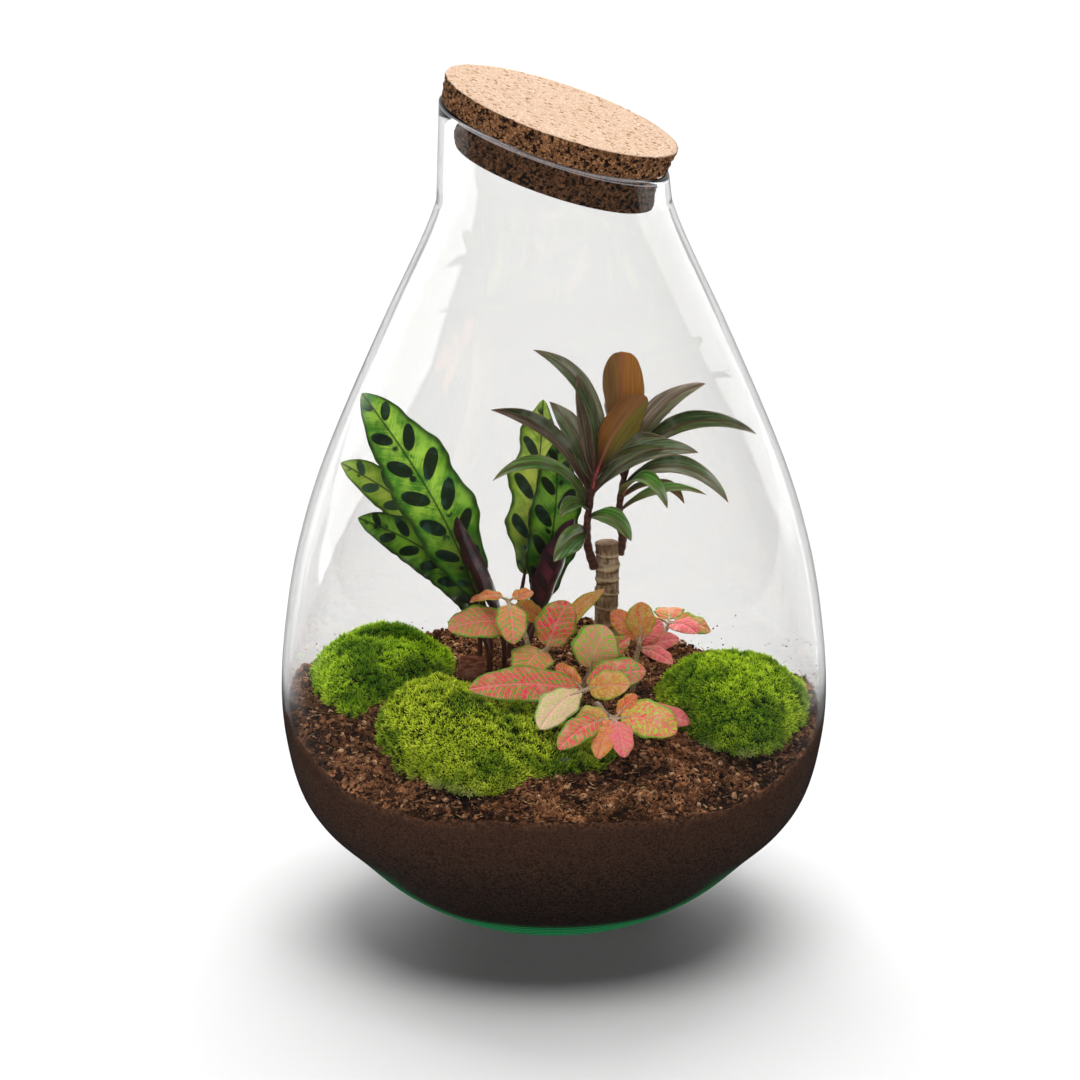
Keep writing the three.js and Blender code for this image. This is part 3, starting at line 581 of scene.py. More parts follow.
def mottled(tree, size, light, middle, dark, dark_share):
    """The mottle in a material, with granules of the given size in millimetres: its colour and its height."""
    made = effect(tree, granule_mottle, {
        "Place": where(tree), "Size": per_metre / size, "Light": paint(light), "Middle": paint(middle),
        "Dark": paint(dark), "Dark share": dark_share,
    })
    return made["Color"], made["Height"]


def field(tree, name, output="Fac"):
    """A field of the mesh."""
    return node(tree, "ShaderNodeAttribute", attribute_name=name).outputs[output]


def patches(tree, size, detail, low, high, most=1.0, rough=0.5):
    """Soft patches of the given size in millimetres: a mask from 0 to the given most."""
    return spread(tree, lumps(tree, size, detail, rough), low, high, 0.0, most)


def stain(tree, colour, mask, code, most=1.0):
    """A colour covered by another where the mask says, up to the given share."""
    share = mask if most == 1.0 else times(tree, mask, most)
    return mix(tree, share, colour, paint(code))


def mix_values(tree, share, first, second):
    """Two values mixed by a share from 0 to 1."""
    return node(tree, "ShaderNodeMix", {0: share, 2: first, 3: second}, data_type="FLOAT").outputs[0]


tree, shader, cork_finish = finish("pressed_cork")
pale, pale_height = mottled(tree, 1.5, "#ecd2ba", "#dbb698", "#a37a58", 0.06)
dark, dark_height = mottled(tree, 1.5, "#bb8458", "#66432b", "#1c0f08", 0.27)
pale = stain(tree, pale, patches(tree, 0.8, 1.0, 0.62, 0.72), "#7d5636", 0.5)
dark = stain(tree, dark, patches(tree, 1.1, 2.0, 0.55, 0.75), "#cf9662", 0.7)
dark = stain(tree, dark, patches(tree, 0.9, 3.0, 0.51, 0.6, rough=0.65), "#1f120a", 0.7)
# Painted shade: the plug inside the neck is darkened, as it lies in shade under the head.
dark = mix(tree, times(tree, field(tree, "in_neck"), 0.9), dark, (0.4, 0.37, 0.34, 1), "MULTIPLY")
cut = field(tree, "cut_face")
set_inputs(tree, shader, {
    "Base Color": mix(tree, cut, dark, pale), "Roughness": 0.85, "Specular IOR Level": 0.25,
})
bump(tree, shader, mix_values(tree, cut, dark_height, pale_height), 0.6, 0.8)
cork.piece("cork_pressed", [cork_finish], "cork", "cork_stopper")

# ---------------------------------------------------------------- soil
# Dark, fluffy potting peat. It is loose on top, with crumbs, clods and tan fibres, and pressed smooth where
# it lies against the glass. The rim line climbs at the back and on both sides.

# The soil reaches a little into the glass, so that no line of air shines between them.
into_glass = 0.12
soil_mound = 107
soil_turns = even_turns(720)
soil_sides = len(soil_turns)
random_soil = np.random.default_rng(41)
# A low ridge at the back right.
ridge_x, ridge_y = 60, 86
ridge_high = 3.2
ridge_wide = 16


def wall_height(turn):
    """Height of the soil against the glass, all round."""
    first = -2.8 * np.cos(turn) + 10.2 * np.sin(turn)
    second = 6 * np.cos(2 * turn) - 1.5 * np.sin(2 * turn)
    return 96 + first + second + 5 * np.cos(4 * turn)


def inner_radius(height):
    return np.interp(height, inner_wall[:, 1], inner_wall[:, 0])


def swell(x, y):
    """The slow lumps that the source gives to soil and moss."""
    broad = np.sin(0.11 * x + 1.3) * np.sin(0.13 * y + 0.4)
    fine = np.sin(0.31 * x - 0.23 * y + 0.7) * np.sin(0.19 * x + 0.29 * y)
    return 1.2 * broad + 0.8 * fine


moss_cushions = [
    {
        "name": "moss_left", "base": 94, "centre": (-84, 20), "height": 36, "lean": (0, 0),
        "outline": [
            (-49, 34), (-57, 54), (-76, 66), (-98, 60), (-114, 42), (-118, 18), (-112, -8), (-98, -22),
            (-76, -16), (-56, 4),
        ],
    },
    {
        "name": "moss_front", "base": 88, "centre": (-32, -60), "height": 35, "lean": (-0.34, 0.12),
        "outline": [
            (4, -36), (-22, -27), (-52, -22), (-74, -28), (-82, -46), (-73, -68), (-54, -88), (-34, -99),
            (-8, -90), (16, -82), (28, -68), (22, -50),
        ],
    },
    {
        "name": "moss_right", "base": 95, "centre": (84, -20), "height": 35, "lean": (0, 0),
        "outline": [
            (118, -4), (104, 14), (80, 18), (58, 12), (50, -8), (56, -34), (74, -56), (92, -64), (108, -46),
            (117, -26),
        ],
    },
]
for cushion in moss_cushions:
    outline = cushion["outline"]
    edge = smooth_curve([outline[-1], *outline, outline[0], outline[1]], 12)[12:12 * (len(outline) + 1)]
    away = edge - cushion["centre"]
    angle = np.arctan2(away[:, 1], away[:, 0])
    order = np.argsort(angle)
    cushion["angles"] = np.concatenate([angle[order] - 2 * math.pi, angle[order], angle[order] + 2 * math.pi])
    cushion["reach"] = np.tile(np.hypot(away[:, 0], away[:, 1])[order], 3)


def cushion_share(cushion, x, y):
    """How far out a place lies in a cushion: 0 in the middle, 1 on its outline."""
    east, north = x - cushion["centre"][0], y - cushion["centre"][1]
    reach = np.interp(np.arctan2(north, east), cushion["angles"], cushion["reach"])
    return np.hypot(east, north) / reach


def ridge(x, y, wide):
    """How much of the ridge there is at a place, 1 on its top."""
    return np.exp(-((x - ridge_x) ** 2 + (y - ridge_y) ** 2) / wide ** 2)


def soil_clods(x, y):
    """Clods, crumbs and the hollows between them."""
    flat = np.stack([x, y, np.zeros_like(x)], axis=-1).reshape(-1, 3)
    clods = 2.4 * relief(flat, 12, 1) + 1.5 * relief(flat, 5.5, 2) + 0.7 * relief(flat, 1.5, 9)
    for size, tall in ((5.2, 2.3), (2.6, 1.5)):
        middle, _, own = granules(flat, size, int(size * 10))
        clods = clods + tall * (0.35 + 0.65 * own) * np.sqrt(np.clip(0.62 - middle, 0, 1)) - 0.35 * tall
    return clods.reshape(np.shape(x))


def soil_height(x, y):
    """The soil's top: the source's form with clods and crumbs, dug out under the cushions."""
    wall = wall_height(np.arctan2(y, x))
    share = np.clip(np.hypot(x, y) / (inner_radius(wall) + into_glass), 0, 1)
    inner = np.clip((1 - share) / 0.06, 0, 1)
    fluff = (swell(x, y) + soil_clods(x, y)) * (0.35 + 0.65 * inner)
    high = wall + (soil_mound - wall) * (1 - share ** 1.6) + fluff + ridge_high * ridge(x, y, ridge_wide)
    for cushion in moss_cushions:
        beyond = np.clip(cushion_share(cushion, x, y) - 0.98, 0, 9)
        high = np.minimum(high, cushion["base"] + 3 + 220 * beyond)
    return high


wall_line = wall_height(soil_turns)
round_wall = np.stack([soil_turns * 126, wall_line * 0, wall_line * 0], axis=1)
for size, tall, seed in ((13, 0.9, 8), (4, 1.3, 6), (2, 0.7, 7)):
    wall_line = wall_line + tall * relief(round_wall, size, seed)

bottom_wall = set_in(inner_wall, np.full(len(inner_wall), -into_glass))
foot = bottom_wall[0]
rings, pressed, hollows = [], [], []
for share in np.linspace(0.05, 1, 8):
    rings.append(round_ring(soil_turns, foot[0] * share, foot[1]))
    pressed.append(1.0)
for share in np.linspace(0.02, 1, 52):
    high = foot[1] + (wall_line - foot[1]) * share
    rings.append(round_ring(soil_turns, np.interp(high, bottom_wall[:, 1], bottom_wall[:, 0]), high))
    pressed.append(float(np.clip(0.8 + (1 - share) / 0.3, 0, 1)))
reach = np.interp(wall_line, bottom_wall[:, 1], bottom_wall[:, 0])
for share in np.linspace(1, 0.01, 135)[1:] ** 0.85:
    x, y = reach * share * np.cos(soil_turns), reach * share * np.sin(soil_turns)
    near_wall = np.clip((share - 0.93) / 0.07, 0, 1) ** 2
    high = soil_height(x, y) * (1 - near_wall) + wall_line * near_wall
    rings.append(round_ring(soil_turns, reach * share, high))
    pressed.append(0.0)
    # Painted shade: darker in the hollows between clods, around the ridge at the back and in a line along
    # each cushion's edge.
    dark = 0.45 - soil_clods(x, y) * 0.33 + 0.35 * ridge(x, y, 22)
    for cushion in moss_cushions:
        dark = np.maximum(dark, 0.95 - 9 * np.abs(cushion_share(cushion, x, y) - 1.0))
    hollows.append(np.clip(dark, 0, 1))
middle_high = float(soil_height(np.zeros(1), np.zeros(1))[0])
soil_points, soil_faces = lathe(rings, (0, 0, foot[1]), (0, 0, middle_high))
hollow = np.zeros(len(soil_points))
hollow[-1 - len(hollows) * soil_sides:-1] = np.concatenate(hollows)
pressed = np.concatenate([[1], np.repeat(pressed, soil_sides), [0]])
soil = Pile()
soil.add(soil_points, soil_faces, 0, pressed=pressed, hollow=hollow)

# Plain peat: dark brown, with paler crumbs and reddish bits, painted darker as shade in its hollows; smoother
# and cooler where it is pressed.
tree, shader, peat = finish("potting_peat")
loose, loose_height = mottled(tree, 1.4, "#dc9a6c", "#8c5a3c", "#1a0f08", 0.26)
packed, packed_height = mottled(tree, 0.9, "#46342d", "#34261f", "#231914", 0.25)
loose = stain(tree, loose, patches(tree, 9, 3.0, 0.35, 0.7), "#7e4f34", 0.3)
# Painted shade in the hollows and along the cushions.
loose = stain(tree, loose, field(tree, "hollow"), "#0e0704", 0.92)
packed = stain(tree, packed, patches(tree, 0.6, 1.0, 0.65, 0.73), "#7a604c", 0.6)
height = times(tree, split(tree, where(tree))[2], per_metre)
packed = stain(tree, packed, spread(tree, height, 40, 84, 0.0, 0.22), "#6e4c3a")
packed = stain(tree, packed, spread(tree, height, 34, 4, 0.0, 0.45), "#211916")
against = field(tree, "pressed")
set_inputs(tree, shader, {
    "Base Color": mix(tree, against, loose, packed), "Roughness": 0.9, "Specular IOR Level": 0.04,
})
bump(tree, shader, mix_values(tree, against, loose_height, packed_height), 0.7, 0.7)
soil.piece("soil_bed", [peat], "potting_soil", "soil")

# Crumbs and fibres lie loose on the bed, and a few more cling to the glass just above it. A crumb is made
# from a ball of twenty triangles with its corners pushed in and out.
golden = (1 + 5 ** 0.5) / 2
signs = list(itertools.product((-1, 1), repeat=2))
crumb_form = np.array(
    [(0, first, second * golden) for first, second in signs]
    + [(first, second * golden, 0) for first, second in signs]
    + [(second * golden, 0, first) for first, second in signs]
) / 1.9
crumb_corners = len(crumb_form)
near_enough = 1.2
crumb_faces = np.array([
    corners for corners in itertools.combinations(range(crumb_corners), 3)
    if all(
        np.linalg.norm(crumb_form[one] - crumb_form[other]) < near_enough
        for one, other in itertools.combinations(corners, 2)
    )
])
for place, (first, second, third) in enumerate(crumb_faces):
    normal = np.cross(crumb_form[second] - crumb_form[first], crumb_form[third] - crumb_form[first])
    if normal @ crumb_form[first] < 0:
        crumb_faces[place] = (first, third, second)


def crumb_heap(pile, places, sizes, random, finish_number=0):
    """Angular crumbs at the given places."""
    count = len(places)
    form = crumb_form[None] * random.uniform(0.62, 1.2, (count, crumb_corners, 1))
    form = form * random.uniform(0.6, 1.15, (count, 1, 3)) * np.asarray(sizes)[:, None, None]
    turn = random.uniform(0, 2 * math.pi, count)
    cos, sin = np.cos(turn)[:, None], np.sin(turn)[:, None]
    turned_x, turned_y = form[..., 0] * cos - form[..., 1] * sin, form[..., 0] * sin + form[..., 1] * cos
    points = np.stack([turned_x, turned_y, form[..., 2]], axis=-1) + np.asarray(places)[:, None]
    faces = (crumb_faces[None] + crumb_corners * np.arange(count)[:, None, None]).reshape(-1, 3)
    tone = np.repeat(random.uniform(0, 1, count), crumb_corners)
    pile.add(points.reshape(-1, 3), [faces], finish_number, tone=tone)


def fibre_heap(pile, places, headings, lengths, thick, random, finish_number=0):
    """Thin bent fibres through the given places, three-sided, tapered at both ends."""
    count = len(places)
    stations = np.linspace(-0.5, 0.5, 6)
    side = unit(np.cross(headings, random.normal(0, 1, (count, 3))))
    other = np.cross(headings, side)
    curl = random.uniform(-0.5, 0.5, (count, 1))
    spine = (
        places[:, None] + headings[:, None] * (stations[None, :, None] * lengths[:, None, None])
        + side[:, None] * ((curl * (stations ** 2 - 0.1))[..., None] * lengths[:, None, None])
    )
    girth = thick[:, None] * np.array([0.35, 0.9, 1, 1, 0.8, 0.25])
    rim = even_turns(3)[:, None]
    around = side[:, None, None] * np.cos(rim) + other[:, None, None] * np.sin(rim)
    points = spine[:, :, None] + around * girth[:, :, None, None]
    corners = 3 * len(stations)
    step = np.arange(len(stations) - 1)[:, None] * 3
    rim_place, ahead = np.arange(3), (np.arange(3) + 1) % 3
    quads = np.stack([step + rim_place, step + ahead, step + 3 + ahead, step + 3 + rim_place], axis=-1)
    caps = np.array([(0, 2, 1), (corners - 3, corners - 2, corners - 1)])
    shift = corners * np.arange(count)[:, None, None]
    faces = [(quads.reshape(-1, 4)[None] + shift).reshape(-1, 4), (caps[None] + shift).reshape(-1, 3)]
    tone = np.repeat(random.uniform(0, 1, count), corners)
    pile.add(points.reshape(-1, 3), faces, finish_number, tone=tone)


def scatter_on_soil(count, random, inset):
    """Random places on the soil's top, off the cushions and the given distance in from the glass."""
    turn = random.uniform(0, 2 * math.pi, count * 2)
    share = np.sqrt(random.uniform(0, 1, count * 2))
    radius = share * (inner_radius(wall_height(turn)) - inset)
    x, y = radius * np.cos(turn), radius * np.sin(turn)
    free = np.all([cushion_share(cushion, x, y) > 1 for cushion in moss_cushions], axis=0)
    x, y = x[free][:count], y[free][:count]
    return np.stack([x, y, soil_height(x, y)], axis=1)


litter = Pile()
places = scatter_on_soil(9500, random_soil, 2.5)
sizes = 0.36 + 1.75 * random_soil.uniform(0, 1, len(places)) ** 4
crumb_heap(litter, places + np.outer(sizes * 0.25, (0, 0, 1)), sizes, random_soil)
places = scatter_on_soil(3600, random_soil, 5.0)
headings = unit(random_soil.normal(0, 1, (len(places), 3)) * (1, 1, 0.28))
lengths = 2.5 + 7 * random_soil.uniform(0, 1, len(places)) ** 2
places[:, 2] += 0.5
fibre_heap(litter, places, headings, lengths, random_soil.uniform(0.13, 0.32, len(places)), random_soil, 1)

# The crumbs on the glass: from and to what angle, how many, and how high they climb.
on_glass = []
for low_turn, high_turn, count, climb in ((-0.35, 0.95, 90, 22), (2.6, 3.5, 26, 20), (0.95, 2.6, 30, 8)):
    turn = random_soil.uniform(low_turn, high_turn, count)
    high = wall_height(turn) + 1 + climb * random_soil.uniform(0, 1, count) ** 1.8
    radius = inner_radius(high) - 0.75
    on_glass.append(np.stack([radius * np.cos(turn), radius * np.sin(turn), high], axis=1))
on_glass = np.concatenate(on_glass)
crumb_heap(litter, on_glass, random_soil.uniform(0.2, 0.62, len(on_glass)), random_soil)

crumb_materials = []
for name, tones in (
    ("soil_crumbs", ("#1a0f08", "#74492c", "#b87c54", "#ecbc90")),
    ("soil_fibres", ("#4a2e1c", "#9a633c", "#d09a66", "#f2cc98")),
):
    tree, shader, made = finish(name)
    ramp = node(tree, "ShaderNodeValToRGB", {0: field(tree, "tone")})
    ramp.color_ramp.elements[0].color = paint(tones[0])
    ramp.color_ramp.elements[1].color = paint(tones[3])
    ramp.color_ramp.elements.new(0.45).color = paint(tones[1])
    ramp.color_ramp.elements.new(0.8).color = paint(tones[2])
    grime = lumps(tree, 0.9, 3.0)
    set_inputs(tree, shader, {
        "Base Color": stain(tree, ramp.outputs[0], spread(tree, grime, 0.4, 0.7), "#2a1b13"),
        "Roughness": 0.88, "Specular IOR Level": 0.2,
    })
    bump(tree, shader, grime, 0.3, 0.6)
    crumb_materials.append(made)
litter.piece("soil_litter", crumb_materials, "potting_soil", "soil", smooth=False)

# ---------------------------------------------------------------- moss cushions
# Three living cushions pressed into the soil: thousands of short upright shoots with fine leaflets, deep
# green in the middle and on the flanks, yellow-green at the tips and straw-coloured at the edges.

# How far the body lies under the shoots, where a torn-off tuft lies, how far it reaches and how many shoots
# it has. The turn from one leaflet of a shoot to the next is in radians.
under_shoots = 1.6
tuft_place = (-94, -27)
tuft_wide, tuft_deep = 5.5, 3.5
tuft_shoots = 70
leaflets = 9
leaflet_turn = 2.399
leaflet_wide = 0.29


def moss_height(cushion, x, y):
    share = np.clip(cushion_share(cushion, x, y), 0, 1)
    east, north = x - cushion["centre"][0], y - cushion["centre"][1]
    tall = cushion["height"] + cushion["lean"][0] * east + cushion["lean"][1] * north
    crown = np.clip(1 - share ** 2.4, 0, 1) ** 0.62
    high = cushion["base"] + 8 + (tall - 10) * crown + swell(x * 1.4, y * 1.4) * (1 - share)
    if cushion["name"] == "moss_left":
        # A crease runs across it, and it lies a little lower in front of that.
        line = north - 7 + 0.004 * east ** 2
        high = high - (1.6 * np.clip(0.5 - line / 6, 0, 1) + 4.2 * np.exp(-(line / 3.2) ** 2)) * crown
    flat = np.stack([x, y, 0 * x], axis=-1)
    return high + (1.1 * relief(flat, 9, 51) + 0.6 * relief(flat, 4, 52)) * np.clip((1 - share) * 6, 0, 1)


def cushion_reach(cushion, turns):
    """How far a cushion's outline is from its centre, towards each of the given angles."""
    return np.interp(np.arctan2(np.sin(turns), np.cos(turns)), cushion["angles"], cushion["reach"])


def moss_body(pile, cushion):
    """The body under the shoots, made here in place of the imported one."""
    turns = even_turns(150)
    reach = cushion_reach(cushion, turns)
    centre, base = cushion["centre"], cushion["base"]
    rings = [
        round_ring(turns, reach * share, base + high, centre) for share, high in ((0.95, 0.2), (0.985, 2.5))
    ]
    for share in np.concatenate([np.linspace(0.995, 0.9, 8), np.linspace(0.88, 0.02, 34)]):
        ring = round_ring(turns, reach * share, 0, centre)
        ring[:, 2] = moss_height(cushion, ring[:, 0], ring[:, 1]) - under_shoots
        rings.append(ring)
    middle = np.array(centre, float)
    top = float(moss_height(cushion, middle[:1], middle[1:])[0]) - under_shoots
    pile.add(*lathe(rings, (*centre, base + 0.2), (*centre, top)), 1, rise=0.0, tone=0.2, straw=0.0)


def shoot_spots(cushion, shoot_count, random):
    """Where a cushion's shoots stand, spread evenly over the slope, and which way they point."""
    outline = np.array(cushion["outline"], float)
    low, high = outline.min(axis=0) - 3, outline.max(axis=0) + 3
    x = random.uniform(low[0], high[0], shoot_count * 6)
    y = random.uniform(low[1], high[1], shoot_count * 6)
    inside = cushion_share(cushion, x, y) < 0.985
    x, y = x[inside], y[inside]
    step = 0.6
    level = moss_height(cushion, x, y)
    slope_x = np.clip((moss_height(cushion, x + step, y) - level) / step, -2.6, 2.6)
    slope_y = np.clip((moss_height(cushion, x, y + step) - level) / step, -2.6, 2.6)
    area = np.sqrt(1 + slope_x ** 2 + slope_y ** 2)
    keep = np.flatnonzero(random.uniform(0, 1, len(x)) < area / area.max())[:shoot_count]
    spots = np.stack([x, y, level], axis=1)[keep]
    ways = (np.stack([-slope_x, -slope_y, np.ones(len(x))], axis=1) / area[:, None])[keep]
    # More of them stand out sideways along the cushion's foot.
    rim = random.uniform(0, 2 * math.pi, shoot_count // 3)
    rim_high = random.uniform(0.5, 12, len(rim))
    rim_reach = (0.985 - 0.004 * np.clip(rim_high - 6, 0, 6)) * cushion_reach(cushion, rim)
    rim_spots = round_ring(rim, rim_reach, cushion["base"] + rim_high, cushion["centre"])
    spots, ways = np.concatenate([spots, rim_spots]), np.concatenate([ways, round_ring(rim, 1, 0.25)])
    if cushion["name"] == "moss_left":
        # A torn-off tuft lies in front of it.
        turn, far = random.uniform(0, 2 * math.pi, tuft_shoots), np.sqrt(random.uniform(0, 1, tuft_shoots))
        x = tuft_place[0] + tuft_wide * far * np.cos(turn)
        y = tuft_place[1] + tuft_deep * far * np.sin(turn)
        tuft_spots = np.stack([x, y, soil_height(x, y) + 2.2 - 1.5 * far], axis=1)
        spots = np.concatenate([spots, tuft_spots])
        ways = np.concatenate([ways, round_ring(turn, far, 1 - 0.6 * far)])
    return spots, ways


def moss_piece(cushion, shoot_count, seed):
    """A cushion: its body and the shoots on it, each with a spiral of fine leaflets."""
    random = np.random.default_rng(seed)
    pile = Pile()
    moss_body(pile, cushion)
    spots, ways = shoot_spots(cushion, shoot_count, random)
    count = len(spots)
    share = cushion_share(cushion, spots[:, 0], spots[:, 1])
    clump = relief(spots, 3.2, seed + 3)
    lean = relief(spots, 6, seed + 4)
    axis = ways + np.array([0, 0, 0.3]) + random.normal(0, 0.17, (count, 3))
    axis[:, 0] += 0.25 * lean
    axis = unit(axis)
    foot = spots - axis * 2.4
    tall = (3.7 + 0.9 * clump + random.uniform(-0.8, 0.9, count)) * (1 + 0.25 * (share > 0.86))
    spin = random.uniform(0, 2 * math.pi, (count, 1)) + np.arange(leaflets) * leaflet_turn
    side = unit(np.cross(axis, np.array([0.31, 0.77, 0.12])))
    other = np.cross(axis, side)
    out = side[:, None] * np.cos(spin)[..., None] + other[:, None] * np.sin(spin)[..., None]
    flat = np.cross(axis[:, None], out)
    rank = np.arange(leaflets) / (leaflets - 1)
    start = foot[:, None] + axis[:, None] * (tall[:, None] * (0.2 + 0.45 * rank))[..., None]
    open_angle = np.radians(64 - 50 * rank) * random.uniform(0.8, 1.2, (count, leaflets))
    length = tall[:, None] * (0.52 + 0.08 * rank) * random.uniform(0.85, 1.15, (count, leaflets))
    go = axis[:, None] * np.cos(open_angle)[..., None] + out * np.sin(open_angle)[..., None]
    droop = axis[:, None] * np.cos(open_angle + 0.35)[..., None] + out * np.sin(open_angle + 0.35)[..., None]
    wide = flat * leaflet_wide
    middle = start + go * (length * 0.55)[..., None]
    tip = middle + droop * (length * 0.45)[..., None]
    points = np.stack([start - wide * 0.7, start + wide * 0.7, middle + wide, middle - wide, tip], axis=2)
    block = 5 * np.arange(count * leaflets)[:, None]
    faces = [block + np.array([0, 1, 2, 3]), block + np.array([3, 2, 4])]
    colour = np.clip(0.5 + 0.5 * clump + random.normal(0, 0.16, count), 0, 1)
    dry = np.clip(0.4 + 0.9 * relief(spots * (1, 1, 0), 9, seed + 5), 0, 1)
    straw = np.clip((5.5 - spots[:, 2] + cushion["base"]) / 4, 0, 1) * random.uniform(0, 1, count) * dry
    rise = np.tile([0.25, 0.25, 0.65, 0.65, 1.0], (count, leaflets, 1)) * (0.55 + 0.45 * rank)[None, :, None]
    pile.add(
        points.reshape(-1, 3), faces, 0, rise=rise.ravel(),
        tone=np.repeat(colour, leaflets * 5), straw=np.repeat(straw, leaflets * 5),
    )
    return pile


def moss_material(name, deep, fresh, tips, dry):
    """Shoots from deep green at the foot to pale tips, in patches, straw-coloured where they are dry, with
    painted shade at their very feet.
    """
    tree, shader, made = finish(name)
    rise, tone, straw = field(tree, "rise"), field(tree, "tone"), field(tree, "straw")
    patch = patches(tree, 24, 2.0, 0.41, 0.59)
    young = times_plus(tree, patch, 0.75, times(tree, tone, 0.3))
    lit = times(tree, spread(tree, rise, 0.45, 1.0), spread(tree, tone, 0.1, 0.9, 0.4, 1.0))
    lit = times(tree, lit, times_plus(tree, patch, 0.8, 0.5))
    green = stain(tree, paint(deep), young, fresh)
    green = stain(tree, green, lit, tips)
    # Painted shade: the shoots' feet, darker in life too, go near black where they stand deep among the
    # others.
    green = stain(tree, green, spread(tree, rise, 0.68, 0.26), "#0d1802")
    green = stain(tree, green, straw, dry, 0.75)
    set_inputs(tree, shader, {"Base Color": green, "Roughness": 0.7, "Specular IOR Level": 0.1})
    bump(tree, shader, lumps(tree, 0.5), 0.08, 0.5)
    return made


tree, shader, moss_floor = finish("moss_floor")
shade, shade_height = mottled(tree, 1.1, "#4a6418", "#2f4710", "#141c06", 0.3)
set_inputs(tree, shader, {"Base Color": shade, "Roughness": 0.9, "Specular IOR Level": 0.05})
bump(tree, shader, shade_height, 0.5, 0.8)

# How many shoots, and the colours of their feet, of fresh shoots, of the tips and of dry shoots.
moss_looks = {
    "moss_left": (4600, "#3f8402", "#b0e606", "#f2ff54", "#f0e89c"),
    "moss_front": (5400, "#558c02", "#cbe808", "#fdff64", "#f6eea8"),
    "moss_right": (4900, "#428402", "#b2e206", "#f4ff52", "#ece496"),
}
for place, cushion in enumerate(moss_cushions):
    name = cushion["name"]
    shoot_count, *tones = moss_looks[name]
    pile = moss_piece(cushion, shoot_count, 70 + place)
    pile.piece(name + "_shoots", [moss_material(name, *tones), moss_floor], "moss", name)

# ---------------------------------------------------------------- calathea
# Eight long leaves, each on its own thin stalk out of the soil. The blades are waxy and wavy, lime green
# with dark oval markings beside the midrib, and maroon underneath. Two young ones are still rolled.

# How a blade widens from its root and narrows to its tip.
outlines = {"lance": (0.62, 0.68), "oval": (0.5, 0.6), "strap": (0.85, 0.88), "paddle": (0.8, 0.42)}
rib_steps = 40


def turned(leaf, share):
    """How much of its bend a leaf has made by a place along it."""
    return 1 - (1 - share) ** (1 / leaf["ease"]) if leaf["ease"] < 1 else share ** leaf["ease"]


def midrib(leaf):
    """The curve from a leaf's root to its tip in an upright plane: a function of the share along it."""
    root, tip = np.array(leaf["root"], float), np.array(leaf["tip"], float)
    chord = tip - root
    span = np.linalg.norm(chord)
    heading = math.atan2(chord[1], chord[0])
    bend = math.radians(leaf["bend"])
    lean = -bend * turned(leaf, (np.arange(rib_steps) + 0.5) / rib_steps)
    reach = np.concatenate([[0], np.cumsum(np.cos(lean) / rib_steps)])
    climb = np.concatenate([[0], np.cumsum(np.sin(lean) / rib_steps)])
    length = span / math.hypot(reach[-1], climb[-1])
    rise = math.asin(chord[2] / span) - math.atan2(climb[-1], reach[-1])
    flat = np.array([math.cos(heading), math.sin(heading), 0])
    knots = np.arange(rib_steps + 1) / rib_steps

    def at(share):
        share = np.atleast_1d(np.asarray(share, float))
        ahead, above = np.interp(share, knots, reach), np.interp(share, knots, climb)
        out = (ahead * math.cos(rise) - above * math.sin(rise)) * length
        high = (ahead * math.sin(rise) + above * math.cos(rise)) * length
        tilt = rise - bend * turned(leaf, share)
        point = root + out[:, None] * flat + high[:, None] * np.array([0, 0, 1])
        along = np.cos(tilt)[:, None] * flat + np.sin(tilt)[:, None] * np.array([0, 0, 1])
        up = -np.sin(tilt)[:, None] * flat + np.cos(tilt)[:, None] * np.array([0, 0, 1])
        return point, along, up, np.cross(along, up)

    _, _, up, side = at(0.65)
    face = np.array(leaf["face"], float)
    return at, length, math.atan2(-float(side[0] @ face), float(up[0] @ face))


def sheet_faces(rows, columns):
    """Faces of a thin closed sheet: those of its top, and those of its underside and its rim."""
    line = columns + 1
    below = line * (rows + 1)
    row, column = np.meshgrid(np.arange(rows), np.arange(columns), indexing="ij")
    corner = (row * line + column).ravel()
    upper = np.stack([corner, corner + 1, corner + line + 1, corner + line], axis=1)
    lower = np.stack([corner, corner + line, corner + line + 1, corner + 1], axis=1) + below
    left = np.arange(rows) * line
    right = left + columns
    near = np.arange(columns)
    far = rows * line + near
    return upper, np.concatenate([
        lower,
        np.stack([left, left + line, below + left + line, below + left], axis=1),
        np.stack([right, below + right, below + right + line, right + line], axis=1),
        np.stack([near, below + near, below + near + 1, near + 1], axis=1),
        np.stack([far, far + 1, below + far + 1, below + far], axis=1),
    ])


